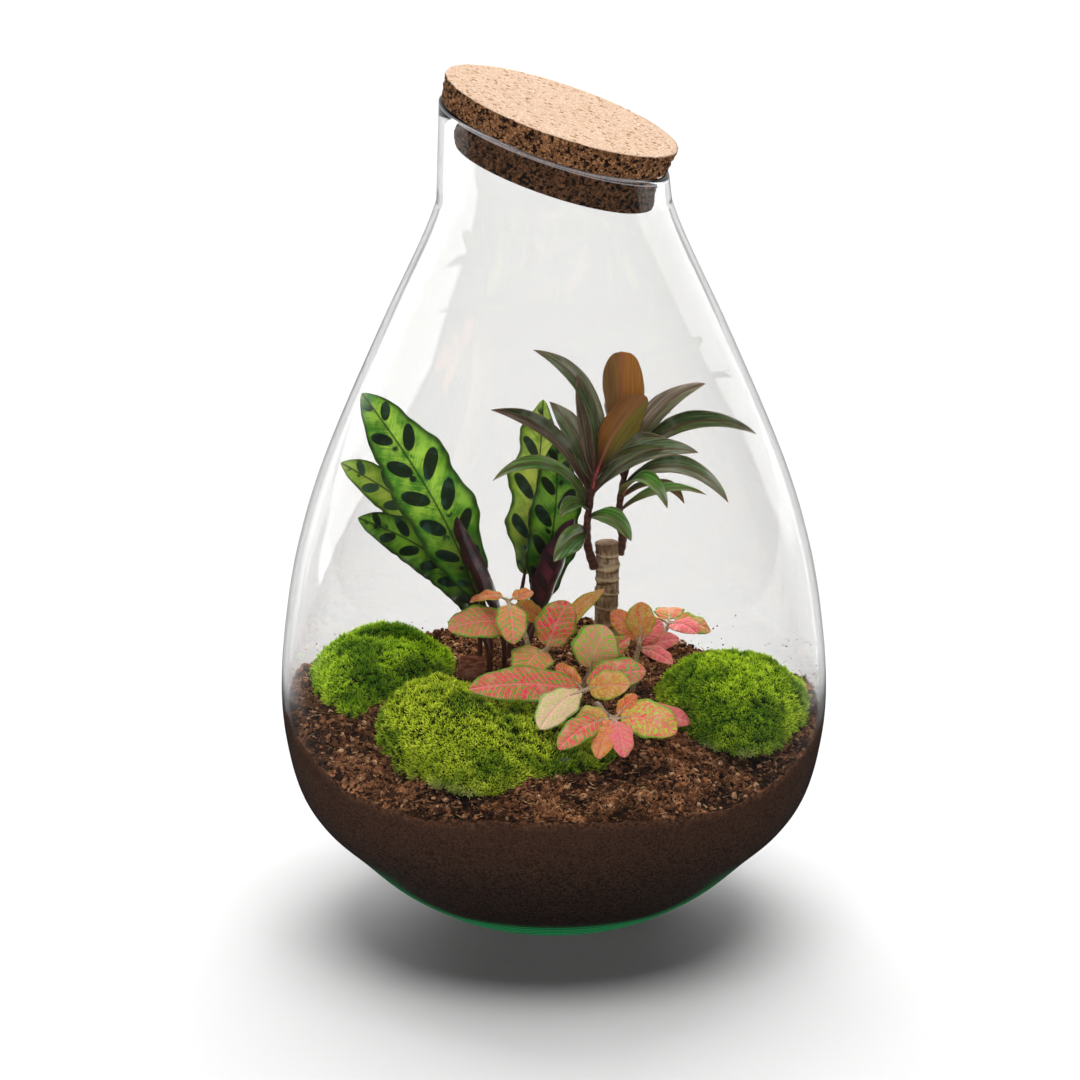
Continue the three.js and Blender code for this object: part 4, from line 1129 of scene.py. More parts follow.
def leaf_blade(pile, leaf, rows, columns, thick, groove, quilt, quilt_pairs, **fields):
    """A thin closed blade with a grooved midrib, puckered between its side veins."""
    at, length, roll = midrib(leaf)
    start = min(leaf["stalk"] / length, 0.9)
    even = np.linspace(0, 1, rows + 1)
    grown = even + leaf["crowd"] * (0.5 - 0.5 * np.cos(math.pi * even) - even)
    point, along, up, side = at(start + (1 - start) * grown)
    sideways = side * math.cos(roll) + up * math.sin(roll)
    normal = up * math.cos(roll) - side * math.sin(roll)
    grow, fall = outlines[leaf["outline"]]
    peak = grow / (grow + fall)
    width = leaf["width"] * grown ** grow * (1 - grown) ** fall / (peak ** grow * (1 - peak) ** fall)

    # From here each row is a place along the blade, and each column one across it, from -1 to 1.
    grown = grown[:, None]
    across = np.linspace(-1, 1, columns + 1)[None]
    from_rib = np.abs(across)
    crease = np.sqrt(across * across + 0.003)
    swing = np.sin(2 * math.pi * leaf["waves"] * grown + np.where(across < 0, 2.2, 0))
    crimp = np.sin(2 * math.pi * leaf["waves"] * 3.1 * grown + np.where(across < 0, 1.1, 0)) * from_rib ** 4
    half = np.maximum(width[:, None] / 2, 0.14)
    half = half * (1 + leaf["scallop"] * swing + 0.25 * leaf["scallop"] * crimp)
    beside = across * half
    wave = leaf["wave"] * swing
    ease = np.minimum(1, half / (0.25 * leaf["width"]))
    bowl = leaf["fold"] * (crease - 0.055) + leaf["cup"] * across * across
    vein = np.cos(2 * math.pi * (quilt_pairs * grown - 1.6 * from_rib))
    vein = vein * from_rib ** 0.7 * (1 - from_rib) ** 0.4
    lift = half * bowl + wave * ease * across * across + 0.18 * wave * ease * crimp
    lift = lift - groove * np.exp(-(beside / 0.6) ** 2) * ease + quilt * vein * ease
    slope = leaf["fold"] * across / crease + 2 * leaf["cup"] * across + 2 * wave * ease * across / half
    middle = point[:, None] + sideways[:, None] * beside[..., None] + normal[:, None] * lift[..., None]
    outward = unit(normal[:, None] - sideways[:, None] * np.clip(slope, -2, 2)[..., None])
    deep = thick / 2 * (1 - 0.62 * from_rib ** 3) * np.clip(ease * 1.6, 0.3, 1)
    rib = 0.45 * np.exp(-(beside / 0.7) ** 2) * ease * (1 - grown)
    top = middle + outward * deep[..., None]
    under = middle - outward * (deep + rib)[..., None]
    points = np.concatenate([top.reshape(-1, 3), under.reshape(-1, 3)])

    blade_length = length * (1 - start)
    shares = np.stack(np.broadcast_arrays(grown, across, 0 * half), axis=-1).reshape(-1, 3)
    sizes = np.stack(np.broadcast_arrays(grown * blade_length, beside, half), axis=-1).reshape(-1, 3)
    both = {"leaf_share": np.tile(shares, (2, 1)), "leaf_mm": np.tile(sizes, (2, 1))}
    for key, value in fields.items():
        both[key] = np.broadcast_to(np.asarray(value, float), (len(points), *np.shape(value)))
    first = pile.count
    upper, others = sheet_faces(rows, columns)
    pile.add(points, [upper], 0, **both)
    pile.faces.append(others + first)
    pile.finishes.append(np.full(len(others), 1))


def tube(pile, path, radii, sides, finish_number, **fields):
    """A round stalk along a path, with a radius at each point of it."""
    path = np.asarray(path, float)
    along = unit(np.gradient(path, axis=0))
    side = np.cross(along[0], [0.23, 0.91, 0.35])
    frames = []
    for way in along:
        side = unit(side - way * (side @ way))
        frames.append((side, np.cross(way, side)))
    turn = even_turns(sides)
    radii = np.asarray(radii, float).reshape(len(path), -1)
    rings = [
        point + radius[:, None] * (np.outer(np.cos(turn), first) + np.outer(np.sin(turn), second))
        for point, radius, (first, second) in zip(path, np.broadcast_to(radii, (len(path), sides)), frames)
    ]
    points, faces = lathe(rings, path[0], path[-1])
    gone = np.concatenate([[0], np.cumsum(np.linalg.norm(np.diff(path, axis=0), axis=1))])
    rows = {"stalk_mm": np.concatenate([[gone[0]], np.repeat(gone, sides), [gone[-1]]])}
    for key, value in fields.items():
        size = np.shape(value) if np.shape(value)[0] == len(points) else (len(points), *np.shape(value))
        rows[key] = np.broadcast_to(np.asarray(value, float), size)
    pile.add(points, faces, finish_number, **rows)


def leaf_stalk(pile, leaf, beyond, steps, radius, taper, **fields):
    """A leaf's stalk, which runs on under the blade for a way and thins out."""
    at, length, _ = midrib(leaf)
    end = min((leaf["stalk"] + beyond) / length, 0.95)
    shares = np.linspace(0, end, steps)
    tube(pile, at(shares)[0], radius * (1 - taper * shares / end), 10, 2, **fields)


calathea_common = {
    "outline": "lance", "crowd": 0.55, "fold": 0.18, "cup": 0, "wave": 1.8, "waves": 3.5, "scallop": 0.07,
    "ease": 0.55,
}
# Root, tip, bend in degrees, stalk, width, the way the face looks, and what is unlike the common leaf.
calathea_leaves = [
    ((-31, 31, 97), (-90, 0, 253), 30, 50, 34, (0.25, -1, 0.25), {}),
    ((-31, 48, 97), (-102.5, 23, 213.5), 62, 48, 25, (0.3, -1, 0.5), {}),
    ((-37, 38, 97), (-93.5, 15, 188), 78, 34, 24, (0.3, -1, 0.5), {"wave": 2}),
    ((-23, 51, 97), (-5, 62, 234), -14, 52, 28, (-0.55, -1, 0.1), {"ease": 1}),
    ((-18, 44, 97), (1.5, 48, 217.5), -26, 42, 25, (0.1, -1, 0.2), {"ease": 1}),
    ((-24, 27, 97), (-46, 3, 192), 42, 38, 15, (-0.9, -0.5, 0.4), {"fold": 0, "cup": 0.9, "wave": 0}),
    ((-16, 30, 97), (10, 36, 181.5), 6, 34, 14, (-0.3, 0.8, 0.2), {"fold": 0, "cup": 0.8, "wave": 0}),
    ((-31, 22, 97), (-44, 10, 146), 50, 30, 11, (0.2, -0.6, 1), {"wave": 0.6}),
]
oval_tilt = math.radians(36)


def oval_markings(group, given):
    """Large oblique ovals beside the midrib, small dots between them, and the darker margin and midrib."""
    along, across, half = split(group, given["Leaf mm"])
    share = split(group, given["Leaf share"])[0]
    side = number(group, "GREATER_THAN", across, 0.0)
    out = number(group, "ABSOLUTE", across)
    pitch = given["Pitch"]
    wobble = times_plus(group, lumps(group, 14, 1.0), 0.5, -0.25)
    pairs = plus(group, number(group, "DIVIDE", along, pitch), times(group, side, 0.42))
    pairs = plus(group, pairs, given["Shift"])
    cosine, sine = math.cos(oval_tilt), math.sin(oval_tilt)

    def oval(phase, out_share, long_base, long_more, wide_base, wide_more):
        """How far out a place lies in its oval, about 1 on the oval's edge."""
        ahead = times(group, minus(group, number(group, "FRACT", plus(group, pairs, phase)), 0.5), pitch)
        aside = minus(group, out, times(group, half, out_share))
        first = plus(group, times(group, ahead, cosine), times(group, aside, sine))
        second = minus(group, times(group, aside, cosine), times(group, ahead, sine))
        first = number(group, "DIVIDE", first, times_plus(group, half, long_more, long_base))
        second = number(group, "DIVIDE", second, times_plus(group, half, wide_more, wide_base))
        return plus(group, plus(group, times(group, first, first), times(group, second, second)), wobble)

    large = spread(group, oval(0.0, 0.44, 1.6, 0.42, 0.7, 0.16), 1.12, 0.86)
    small = spread(group, oval(0.5, 0.2, 0.5, 0.1, 0.4, 0.06), 1.15, 0.8)
    marks = number(group, "MAXIMUM", large, times(group, small, patches(group, 9, 1.0, 0.46, 0.54)))
    from_middle = number(group, "ABSOLUTE", minus(group, share, 0.5))
    rim = minus(group, number(group, "DIVIDE", out, half), 0.1)
    streak_place = node(group, "ShaderNodeCombineXYZ", {
        0: times(group, times_plus(group, out, -1.1, along), 0.003), 1: times(group, out, 0.0003),
    })
    return {
        "Marks": times(group, marks, spread(group, from_middle, 0.43, 0.47, 1.0, 0.0)),
        "Margin": spread(group, times_plus(group, lumps(group, 5), 0.2, rim), 0.76, 0.96),
        "Midrib": spread(group, out, 0.2, 0.75, 1.0, 0.0),
        "Streaks": lumps(group, 3.2, 3.0, 0.6, place=streak_place.outputs[0]),
    }


calathea_markings = effect_group("calathea_markings", {
    "Leaf mm": (0, 0, 0), "Leaf share": (0, 0, 0), "Pitch": 18.0, "Shift": 0.0,
}, oval_markings)


def calathea_material(name, lime, lime_deep, oval_colour, margin, pitch, shift, rough, oval_painted_sheen="#4f8070"):
    """A waxy blade, mottled lime, with ovals lighter in patches as a painted sheen, and a ragged dark margin.
    """
    tree, shader, made = finish(name)
    leaf_share = field(tree, "leaf_share", "Vector")
    marking = effect(tree, calathea_markings, {
        "Leaf mm": field(tree, "leaf_mm", "Vector"), "Leaf share": leaf_share, "Pitch": pitch, "Shift": shift,
    })
    streaks = marking["Streaks"]
    tone = plus(tree, times(tree, streaks, 0.4), times(tree, lumps(tree, 9, 3.0, 0.6), 0.75))
    grown, across, _ = split(tree, leaf_share)
    outer = spread(tree, number(tree, "ABSOLUTE", across), 0.3, 1.0, 0.0, 0.6)
    green = stain(tree, paint(lime), spread(tree, tone, 0.44, 0.72), lime_deep)
    green = stain(tree, green, spread(tree, grown, 0.46, 0.06, 0.0, 0.85), margin)
    green = stain(tree, green, outer, lime_deep)
    # Painted sheen: lighter patches on the ovals where the waxy leaf would shine.
    oval = stain(tree, paint(oval_colour), patches(tree, 6, 2.0, 0.5, 0.7, 0.3), oval_painted_sheen)
    green = mix(tree, times(tree, marking["Marks"], 0.97), green, oval)
    green = stain(tree, green, marking["Margin"], margin, 0.85)
    green = stain(tree, green, marking["Midrib"], margin, 0.8)
    set_inputs(tree, shader, {
        "Base Color": green, "Roughness": spread(tree, streaks, 0.3, 0.7, rough - 0.05, rough + 0.08),
        "Specular IOR Level": 0.45, "Coat Weight": 0.25, "Coat Roughness": 0.3,
        "Subsurface Weight": 0.06, "Subsurface Radius": (0.6, 1.0, 0.2), "Subsurface Scale": 0.0012,
    })
    bump(tree, shader, streaks, 0.5, 0.6)
    return made


calathea_under = calathea_material(
    "calathea_underside", "#5a2036", "#3d1526", "#240b18", "#2c0f1c", 18, 0, 0.5, "#2c1220",
)
calathea_rolled = calathea_material(
    "calathea_rolled", "#5c1c30", "#3a1220", "#1f0a14", "#2a0d18", 11, 0.2, 0.42, "#3a1624",
)
tree, shader, calathea_stalk = finish("calathea_stalk")
blotch = lumps(tree, 2.5, 3.0, 0.6, (1, 1, 0.2))
stem_colour = stain(tree, paint("#4a2a22"), spread(tree, field(tree, "stalk_mm"), 4, 40), "#3c1a22")
stem_colour = stain(tree, stem_colour, spread(tree, blotch, 0.4, 0.7, 0.0, 0.6), "#6a3d2a")
set_inputs(tree, shader, {"Base Color": stem_colour, "Roughness": 0.42})
bump(tree, shader, blotch, 0.15, 0.5)

# Lime, deep lime, ovals and margin, then how far apart the ovals are in millimetres and how they are
# shifted along the leaf. The two rolled leaves have none.
calathea_looks = [
    ("#c0f04e", "#4c9a1e", "#061e18", "#10260c", 18.2, 0.12),
    ("#cce85c", "#80b230", "#34543e", "#24421a", 15.5, 0.3),
    ("#7cb030", "#2c5a12", "#061610", "#141c0c", 14.0, 0.55),
    ("#e2f060", "#86b02e", "#0a261e", "#16300f", 20.0, 0.35),
    ("#8cc038", "#2f6c14", "#05170f", "#0f240a", 15.5, 0.7),
    None,
    None,
    ("#4f8a34", "#34702a", "#173a20", "#1f3f1a", 9.0, 0.0),
]
stalk_radius = 1.5
in_soil = 10
for place, (root, tip, bend, stalk, width, face, own) in enumerate(calathea_leaves):
    root = np.array(root, float)
    leaf = {
        **calathea_common, "root": root + (0, 0, in_soil), "tip": tip, "bend": bend, "stalk": stalk - in_soil,
        "width": width, "face": face, **own,
    }
    at, length, _ = midrib(leaf)
    pile = Pile()
    rows, columns, quilt, quilt_pairs = (60, 16, 0.12, 9) if width < 20 else (96, 30, 0.3, 15)
    leaf_blade(pile, leaf, rows, columns, 0.55, 0.35, quilt, quilt_pairs)
    end = min((leaf["stalk"] + 6) / length, 0.95)
    shares = np.linspace(0, end, 16)
    radii = np.concatenate([[stalk_radius], stalk_radius * (1 - 0.45 * shares / end)])
    radii[-3:] *= (0.9, 0.7, 0.35)
    tube(pile, np.concatenate([[root], at(shares)[0]]), radii, 12, 2)
    look = calathea_looks[place]
    if look:
        upper = calathea_material(f"calathea_upper_{place + 1}", *look, 0.36)
        looks, slot = [upper, calathea_under, calathea_stalk], "calathea_green"
    else:
        looks, slot = [calathea_rolled, calathea_rolled, calathea_stalk], "calathea_maroon"
    pile.piece(f"calathea_{place + 1}_blade", looks, slot, f"calathea_leaf_{place + 1}")

# ---------------------------------------------------------------- ti plant
# A woody cane cut off at the top, ringed with old leaf scars, with two leafy shoots grown from its side.
# The strap leaves are greyish green, flushed purple, with two young ones still orange brown.

cane_path = [(26.4, 50, 94), (26.6, 50, 112), (25.6, 50, 130), (26.3, 50, 148), (26, 50, 166)]
cane_curve = smooth_curve(cane_path, 28)
cane_sides = 72
cane_turns = even_turns(cane_sides)
scar_heights = np.array([97, 104.5, 111, 119.5, 126, 134, 141.5, 147.5, 154, 160.5])
cane_radii, ring_share = [], []
for point in cane_curve:
    high = point[2]
    spot = round_ring(cane_turns, 6, high)
    tilt = 0.9 * np.sin(cane_turns + high * 0.7)
    radius = 5.75 + 0.28 * np.sin(high * 0.42)
    ring = np.zeros(cane_sides)
    for scar_height in scar_heights:
        away = high + tilt * 0.8 - scar_height
        radius = radius + 0.62 * np.exp(-(away / 0.75) ** 2) - 0.22 * np.exp(-((away + 1.6) / 0.7) ** 2)
        ring = ring + np.exp(-(away / 0.8) ** 2) - 0.8 * np.exp(-((away + 1.5) / 0.6) ** 2)
    ring_share.append(ring)
    radius = radius + 0.22 * relief(spot * (1, 1, 0.35), 1.6, 61) + 0.3 * relief(spot, 5, 62)
    cane_radii.append(np.minimum(radius, 6.75))
cane_radii = np.array(cane_radii)
cane_radii[-1] -= 0.5
cane = Pile()
tube(cane, cane_curve, cane_radii, cane_sides, 0, ring=np.concatenate([[0], *ring_share, [0]]))

tree, shader, cane_bark = finish("cane_bark")
height = times(tree, split(tree, where(tree))[2], per_metre)
fissure = lumps(tree, 1.5, 4.0, 0.65, (1, 1, 0.22))
band = lumps(tree, 7, 2.0, 0.5, (0.3, 0.3, 1.4))
ring = field(tree, "ring")
bark_colour = paint("#7a6049")
for mask, code in (
    (spread(tree, fissure, 0.36, 0.66), "#b59c7e"),
    (spread(tree, band, 0.45, 0.7, 0.0, 0.65), "#cbb79a"),
    (patches(tree, 5, 2.0, 0.58, 0.7, 0.7), "#4c3423"),
    (spread(tree, height, 158, 166, 0.0, 0.55), "#5a3d2b"),
    (spread(tree, ring, 0.2, 0.9, 0.0, 0.75), "#d6bf9c"),
    (spread(tree, ring, -0.15, -0.7, 0.0, 0.8), "#3a2518"),
):
    bark_colour = stain(tree, bark_colour, mask, code)
set_inputs(tree, shader, {"Base Color": bark_colour, "Roughness": 0.8, "Specular IOR Level": 0.25})
bump(tree, shader, fissure, 0.5, 0.8)
cane.piece("cane_ringed", [cane_bark], "cane_bark", "cordyline_cane")

left_stem = [(19.8, 46.6, 154), (16.6, 43, 166), (16.2, 40, 178), (18, 38, 192), (20, 37, 206)]
right_stem = [(32.2, 50, 160), (33.6, 49, 168), (31.8, 47, 180), (33, 45, 194), (36, 44, 208)]
strap_common = {
    "outline": "strap", "crowd": 0.1, "fold": 0.42, "cup": 0, "wave": 0.6, "waves": 1.7, "scallop": 0.03,
    "stalk": 0, "ease": 1.2,
}
# The colour on each side of the midrib.
ti_colours = {
    "grey": ("#6f8756", "#a3a283"), "purple": ("#8a7264", "#52602e"), "green": ("#62a830", "#8ab84e"),
    "dark": ("#34560a", "#546a0c"), "orange": ("#e08c12", "#a06c14"), "amber": ("#8c7c10", "#b06a14"),
    "pink": ("#c0a496", "#8e8a68"), "olive": ("#42520a", "#5c641a"),
}
# Colour, place along the stem, tip, bend in degrees, width, the way the face looks, and what is unlike the
# common leaf.
left_leaves = [
    ("grey", 0.98, (-10, 40, 264), 84, 10, (0.2, -1, 0.9)),
    ("purple", 0.92, (11, 36, 253), 10, 11, (0.3, -1, 0.1)),
    ("grey", 0.86, (-2, 46, 237), 34, 12, (0.3, -1, 0.4)),
    ("purple", 0.74, (-30, 22, 239), 62, 10, (0.2, -1, 0.9)),
    ("green", 0.6, (-29, 16, 206), 112, 8, (0.2, -1, 0.9)),
    ("amber", 0.7, (44, 16, 247), 40, 18, (0.5, 0.9, 0.1), {"stalk": 16, "outline": "lance"}),
    ("olive", 0.86, (61, 12, 221), 84, 11, (0, -1, 0.9)),
    ("grey", 0.74, (68, 4, 223), 62, 13, (0, -1, 0.8)),
    ("green", 0.62, (3, 21, 187), 90, 9, (0, -1, 0.9)),
    ("green", 0.42, (0, 19, 165), 50, 12, (0.2, -1, 0.2)),
    ("green", 0.55, (37, 20, 175), 90, 10, (0.2, -1, 0.6)),
    ("dark", 0.66, (2, 78, 220), 60, 11, (0, 1, 0.9)),
]
right_leaves = [
    ("orange", 0.84, (33, 54, 260), 6, 20, (0.1, 1, 0.1), {"stalk": 14, "outline": "paddle"}),
    ("pink", 0.96, (74, 52, 245), 62, 11, (0, -1, 0.9)),
    ("dark", 0.9, (97, 22, 228), 84, 10, (0, -1, 0.8)),
    ("grey", 0.74, (83, 14, 196), 104, 10, (0.1, -1, 0.8)),
    ("green", 0.66, (54, 14, 193), 125, 9, (0.2, -1, 0.8)),
    ("green", 0.54, (74, 46, 191), 70, 5, (0, -1, 0.9)),
    ("dark", 0.66, (64, 62, 182), 100, 7, (0, 1, 0.9)),
    ("grey", 0.86, (58, 84, 222), 76, 11, (0, 1, 0.9)),
    ("dark", 0.8, (26, 88, 226), 70, 12, (0, 1, 0.9)),
]


def along_curve(curve, share):
    """The place a given share of the way along a stem's curve."""
    place = min(int(share * (len(curve) - 1)), len(curve) - 2)
    return curve[place] + (curve[place + 1] - curve[place]) * (share * (len(curve) - 1) - place)


def streaked(group, given):
    """Fine parallel streaks along a strap leaf, with its midrib and its margin."""
    along, across, half = split(group, given["Leaf mm"])
    fan = node(group, "ShaderNodeCombineXYZ", {
        0: times(group, along, 0.00004), 1: times(group, across, 0.001),
    })
    out = number(group, "ABSOLUTE", across)
    return {
        "Streaks": lumps(group, 0.9, 3.0, 0.6, place=fan.outputs[0]),
        "Midrib": spread(group, out, 0.25, 0.9, 1.0, 0.0),
        "Margin": spread(group, minus(group, half, out), 0.0, 0.7, 1.0, 0.0),
    }


leaf_streaks = effect_group("leaf_streaks", {"Leaf mm": (0, 0, 0)}, streaked)


def ti_material(name, dim, flush, painted_sheen, rib_colour, margin, rough):
    """A satin strap leaf, two-toned and streaked, with a flush, a painted grey sheen and a darker root."""
    tree, shader, made = finish(name)
    streaks = effect(tree, leaf_streaks, {"Leaf mm": field(tree, "leaf_mm", "Vector")})
    fine, streaky = streaks["Streaks"], field(tree, "streak")
    grown, across, _ = split(tree, field(tree, "leaf_share", "Vector"))
    first, second = field(tree, "leaf_colour", "Color"), field(tree, "second_colour", "Color")
    own = mix(tree, spread(tree, across, -0.45, 0.55), first, second)
    deep = mix(tree, 1.0, own, dim, "MULTIPLY")
    pale = stain(tree, own, 0.1, "#c8cab0")
    streak = times_plus(tree, minus(tree, fine, 0.5), streaky, 0.5)
    colour = mix(tree, spread(tree, streak, 0.34, 0.74), deep, pale)
    colour = stain(tree, colour, times(tree, patches(tree, 18, 2.0, 0.48, 0.7, 0.16), streaky), flush)
    # Painted sheen: lighter grey patches where the satin leaf would shine.
    colour = stain(tree, colour, times(tree, patches(tree, 13, 2.0, 0.5, 0.68, 0.3), streaky), painted_sheen)
    colour = stain(tree, colour, spread(tree, grown, 0.42, 0.04, 0.0, 0.85), "#26180f")
    colour = stain(tree, colour, streaks["Midrib"], rib_colour, 0.5)
    colour = stain(tree, colour, streaks["Margin"], margin, 0.6)
    set_inputs(tree, shader, {
        "Base Color": colour, "Roughness": spread(tree, fine, 0.3, 0.7, rough, rough + 0.12),
        "Specular IOR Level": 0.45, "Coat Weight": 0.2, "Coat Roughness": 0.25,
    })
    bump(tree, shader, fine, 0.22, 0.6)
    return made


ti_upper = ti_material(
    "ti_leaf_upper", (0.22, 0.27, 0.16, 1), "#6f4a48", "#a3a69a", "#7c4a3c", "#8c6a5c", 0.3,
)
ti_under = ti_material(
    "ti_leaf_under", (0.34, 0.3, 0.22, 1), "#4a2c26", "#5c4a44", "#a04a44", "#6d3d38", 0.46,
)
tree, shader, ti_stem = finish("ti_stem")
scar = number(tree, "SINE", times(tree, field(tree, "stalk_mm"), 2.1))
blotch = lumps(tree, 1.8, 3.0, 0.6)
own = field(tree, "leaf_colour", "Color")
stem_colour = stain(tree, own, spread(tree, scar, 0.3, 0.9, 0.0, 0.4), "#7a4a3a")
stem_colour = stain(tree, stem_colour, spread(tree, blotch, 0.45, 0.7, 0.0, 0.6), "#2c1612")
set_inputs(tree, shader, {"Base Color": stem_colour, "Roughness": 0.55})
bump(tree, shader, blotch, 0.3, 0.6)

for side_name, stem, leaves in (("left", left_stem, left_leaves), ("right", right_stem, right_leaves)):
    pile = Pile()
    coarse, fine_curve = smooth_curve(stem, 2), smooth_curve(stem, 12)
    share = np.linspace(0, 1, len(fine_curve))
    radii = 2.3 - 0.9 * share + 0.16 * np.sin(share * 58)
    tube(pile, fine_curve, radii, 14, 2, leaf_colour=paint("#4a2a24"))
    for tone, at_share, tip, bend, width, face, *own in leaves:
        root = along_curve(coarse, at_share)
        leaf = {**strap_common, "root": root, "tip": tip, "bend": bend, "width": width, "face": face}
        leaf.update(*own)
        young = leaf["stalk"] > 0
        quilt, streak = (0.05, 0.35) if young else (0.0, 1.0)
        first, second = (paint(code) for code in ti_colours[tone])
        leaf_blade(
            pile, leaf, 52, 14, 0.45, 0.35, quilt, 9, leaf_colour=first, second_colour=second, streak=streak,
        )
        if young:
            leaf_stalk(pile, leaf, 26, 14, 1.2, 0.75, leaf_colour=paint("#b5484c"))
    pile.piece(
        f"ti_{side_name}_foliage", [ti_upper, ti_under, ti_stem], "ti_leaf", f"cordyline_{side_name}_shoot",
    )

# ---------------------------------------------------------------- fittonias
# Seven low plants with soft, fuzzy stems and small oval leaves netted with pink veins. Older leaves are
# mostly pink with green islands, young ones orange and olive with fine red veins.

net_common = {
    "outline": "oval", "crowd": 0.4, "fold": 0.1, "cup": -0.1, "wave": 0.35, "waves": 2.5, "scallop": 0.05,
    "ease": 1,
}
usual_stalk = 3
# Flesh between the veins, veins, margin, and how much of the leaf the veins cover.
net_looks = {
    "salmon": ("#5ac41c", "#ff7062", "#44a820", 0.39),
    "deep": ("#3cb818", "#fc3a58", "#309c1a", 0.4),
    "pale": ("#96dc3c", "#ff9488", "#4fa826", 0.31),
    "cream": ("#c0d666", "#ffccb6", "#6fa83a", 0.34),
    "orange": ("#dea040", "#e0502c", "#a8a834", 0.24),
    "olive": ("#c8c648", "#e0683c", "#8eb034", 0.24),
    "pink": ("#cfa45a", "#f26474", "#e08a70", 0.8),
    "fleck": ("#b4e03a", "#fc5058", "#60b02a", 0.26),
}
# Each plant's stem, then its leaves: look, place along the stem, tip, width, bend in degrees, the way the
# face looks, and the stalk where it is longer than usual.
fittonias = [
    ([(-9, 8, 95), (-9, 8, 112), (-14, 3, 134), (-22, 2, 151)], [
        ("salmon", 0.7, (-50, -10, 140), 19, 50, (-0.1, -1, 1.1), 6),
        ("salmon", 0.97, (-19, -20, 136), 15, 60, (0.1, -1, 0.6)),
        ("orange", 1, (-40, 6, 149), 9, 70, (0.2, -0.3, 1)),
        ("orange", 0.99, (-10, 10, 153), 8, 20, (0.2, -0.4, 1)),
        ("olive", 0.95, (-5, 10, 138), 10, 30, (0.4, -1, 0.4)),
    ]),
    ([(-2, -2, 95), (-2, -3, 110), (-4, -10, 130)], [
        ("salmon", 1, (-15, -32, 124), 20, 56, (-0.1, -1, 0.9)),
        ("deep", 0.98, (7, -10, 154), 19.5, 16, (0.1, -1, 0.2)),
        ("olive", 0.96, (24, 14, 153), 12, 40, (-0.3, -0.4, 1)),
    ]),
    ([(8, -18, 93), (8, -18, 107), (11, -30, 115), (14, -42, 120)], [
        ("deep", 1, (-39, -64, 128), 19, 24, (-0.1, -1, 0.9)),
        ("orange", 0.96, (1, -36, 131), 9, 10, (0.1, -1, 0.6)),
        ("cream", 1, (1, -60, 119), 9, 20, (0, -1, 1)),
        ("deep", 0.92, (43, -36, 128), 18, 40, (0, -1, 1)),
        ("olive", 1, (35, -50, 125), 15.5, 34, (0, -1, 0.9)),
        ("cream", 0.97, (-6.5, -77, 113), 17, 44, (0, -1, 0.8), 8),
    ]),
    ([(20, -22, 92), (20, -23, 107), (24, -42, 109), (28, -60, 112)], [
        ("olive", 1, (10, -67, 110.5), 17, 24, (0, -1, 0.9)),
        ("deep", 0.98, (2, -88, 107), 13, 50, (0, -1, 0.8), 10),
        ("orange", 0.98, (38, -56, 123), 8, 10, (-0.5, -1, 0.4)),
        ("fleck", 1, (56, -68, 108), 19, 60, (0.1, -1, 0.8)),
        ("pink", 0.85, (64, -46, 106), 11, 36, (0.1, -1, 0.8), 12),
        ("orange", 1, (20, -84, 101), 12, 60, (0, -1, 0.5)),
        ("pink", 1, (32, -82, 101), 12, 60, (0.2, -1, 0.5)),
    ]),
    ([(38, 8, 96), (38.5, 7, 112), (41, 1, 131)], [
        ("olive", 0.98, (42, 6, 149), 14, 10, (0, -1, 0.3)),
        ("orange", 0.95, (27, 8, 143), 12, 44, (0, -1, 0.7)),
        ("pink", 0.94, (52, 10, 138), 11, 30, (0, -1, 0.6)),
        ("pink", 0.9, (56, -16, 125), 8, 30, (0.2, -1, 0.7)),
        ("pink", 0.84, (60, 4, 131), 9, 30, (0.1, -1, 0.7)),
    ]),
    ([(13, -6, 94), (13, -7, 108), (15, -14, 116), (17, -20, 121)], [
        ("pale", 0.99, (25, -18, 144), 23.5, 26, (-0.1, -1, 0.4)),
        ("deep", 0.98, (36, -10, 136), 11, 30, (0.2, -1, 0.6)),
        ("orange", 0.94, (30, -34, 121), 9, 40, (0.2, -1, 0.7)),
    ]),
    ([(52, 52, 96), (52.5, 53, 112), (57, 60, 122)], [
        ("salmon", 1, (78, 66, 116), 13, 40, (0, -0.6, 1)),
        ("deep", 0.98, (58, 84, 122), 15, 50, (0, 0.6, 1)),
        ("orange", 0.97, (40, 72, 123), 12, 40, (0, 0.6, 1)),
        ("pink", 0.95, (70, 42, 122), 12, 50, (0, -0.6, 1)),
    ]),
]


def net_of_veins(group, given):
    """Midrib, side veins and the fine net between them, as a share of vein at each place."""
    along, across, half = split(group, given["Leaf mm"])
    out = number(group, "ABSOLUTE", across)
    out_share = number(group, "DIVIDE", out, half)
    back = minus(group, along, times(group, out, times_plus(group, out, -0.035, 0.95)))
    ribs = number(group, "FRACT", number(group, "DIVIDE", back, 3.1))
    ribs = number(group, "ABSOLUTE", minus(group, ribs, 0.5))
    side = spread(group, ribs, 0.03, 0.14, 1.0, 0.0)
    side = times(group, side, spread(group, out_share, 0.75, 0.98, 1.0, 0.0))
    cell_place = node(group, "ShaderNodeCombineXYZ", {
        0: times(group, back, 0.001), 1: times(group, across, 0.0008), 2: given["Seed"],
    })
    cells = {"Vector": cell_place.outputs[0], "Scale": per_metre / 1.65}
    fine = node(group, "ShaderNodeTexVoronoi", cells, feature="DISTANCE_TO_EDGE").outputs["Distance"]
    wide = times_plus(group, given["Cover"], 0.25, 0.01)
    net = spread(group, minus(group, fine, wide), -0.03, 0.04, 1.0, 0.0)
    mid = spread(group, out, 0.15, 0.6, 1.0, 0.0)
    veins = number(group, "MAXIMUM", mid, times(group, side, 0.9))
    return {
        "Veins": number(group, "MAXIMUM", veins, net), "Ribs": number(group, "MAXIMUM", mid, side),
        "Margin": spread(group, out_share, 0.82, 0.93),
    }


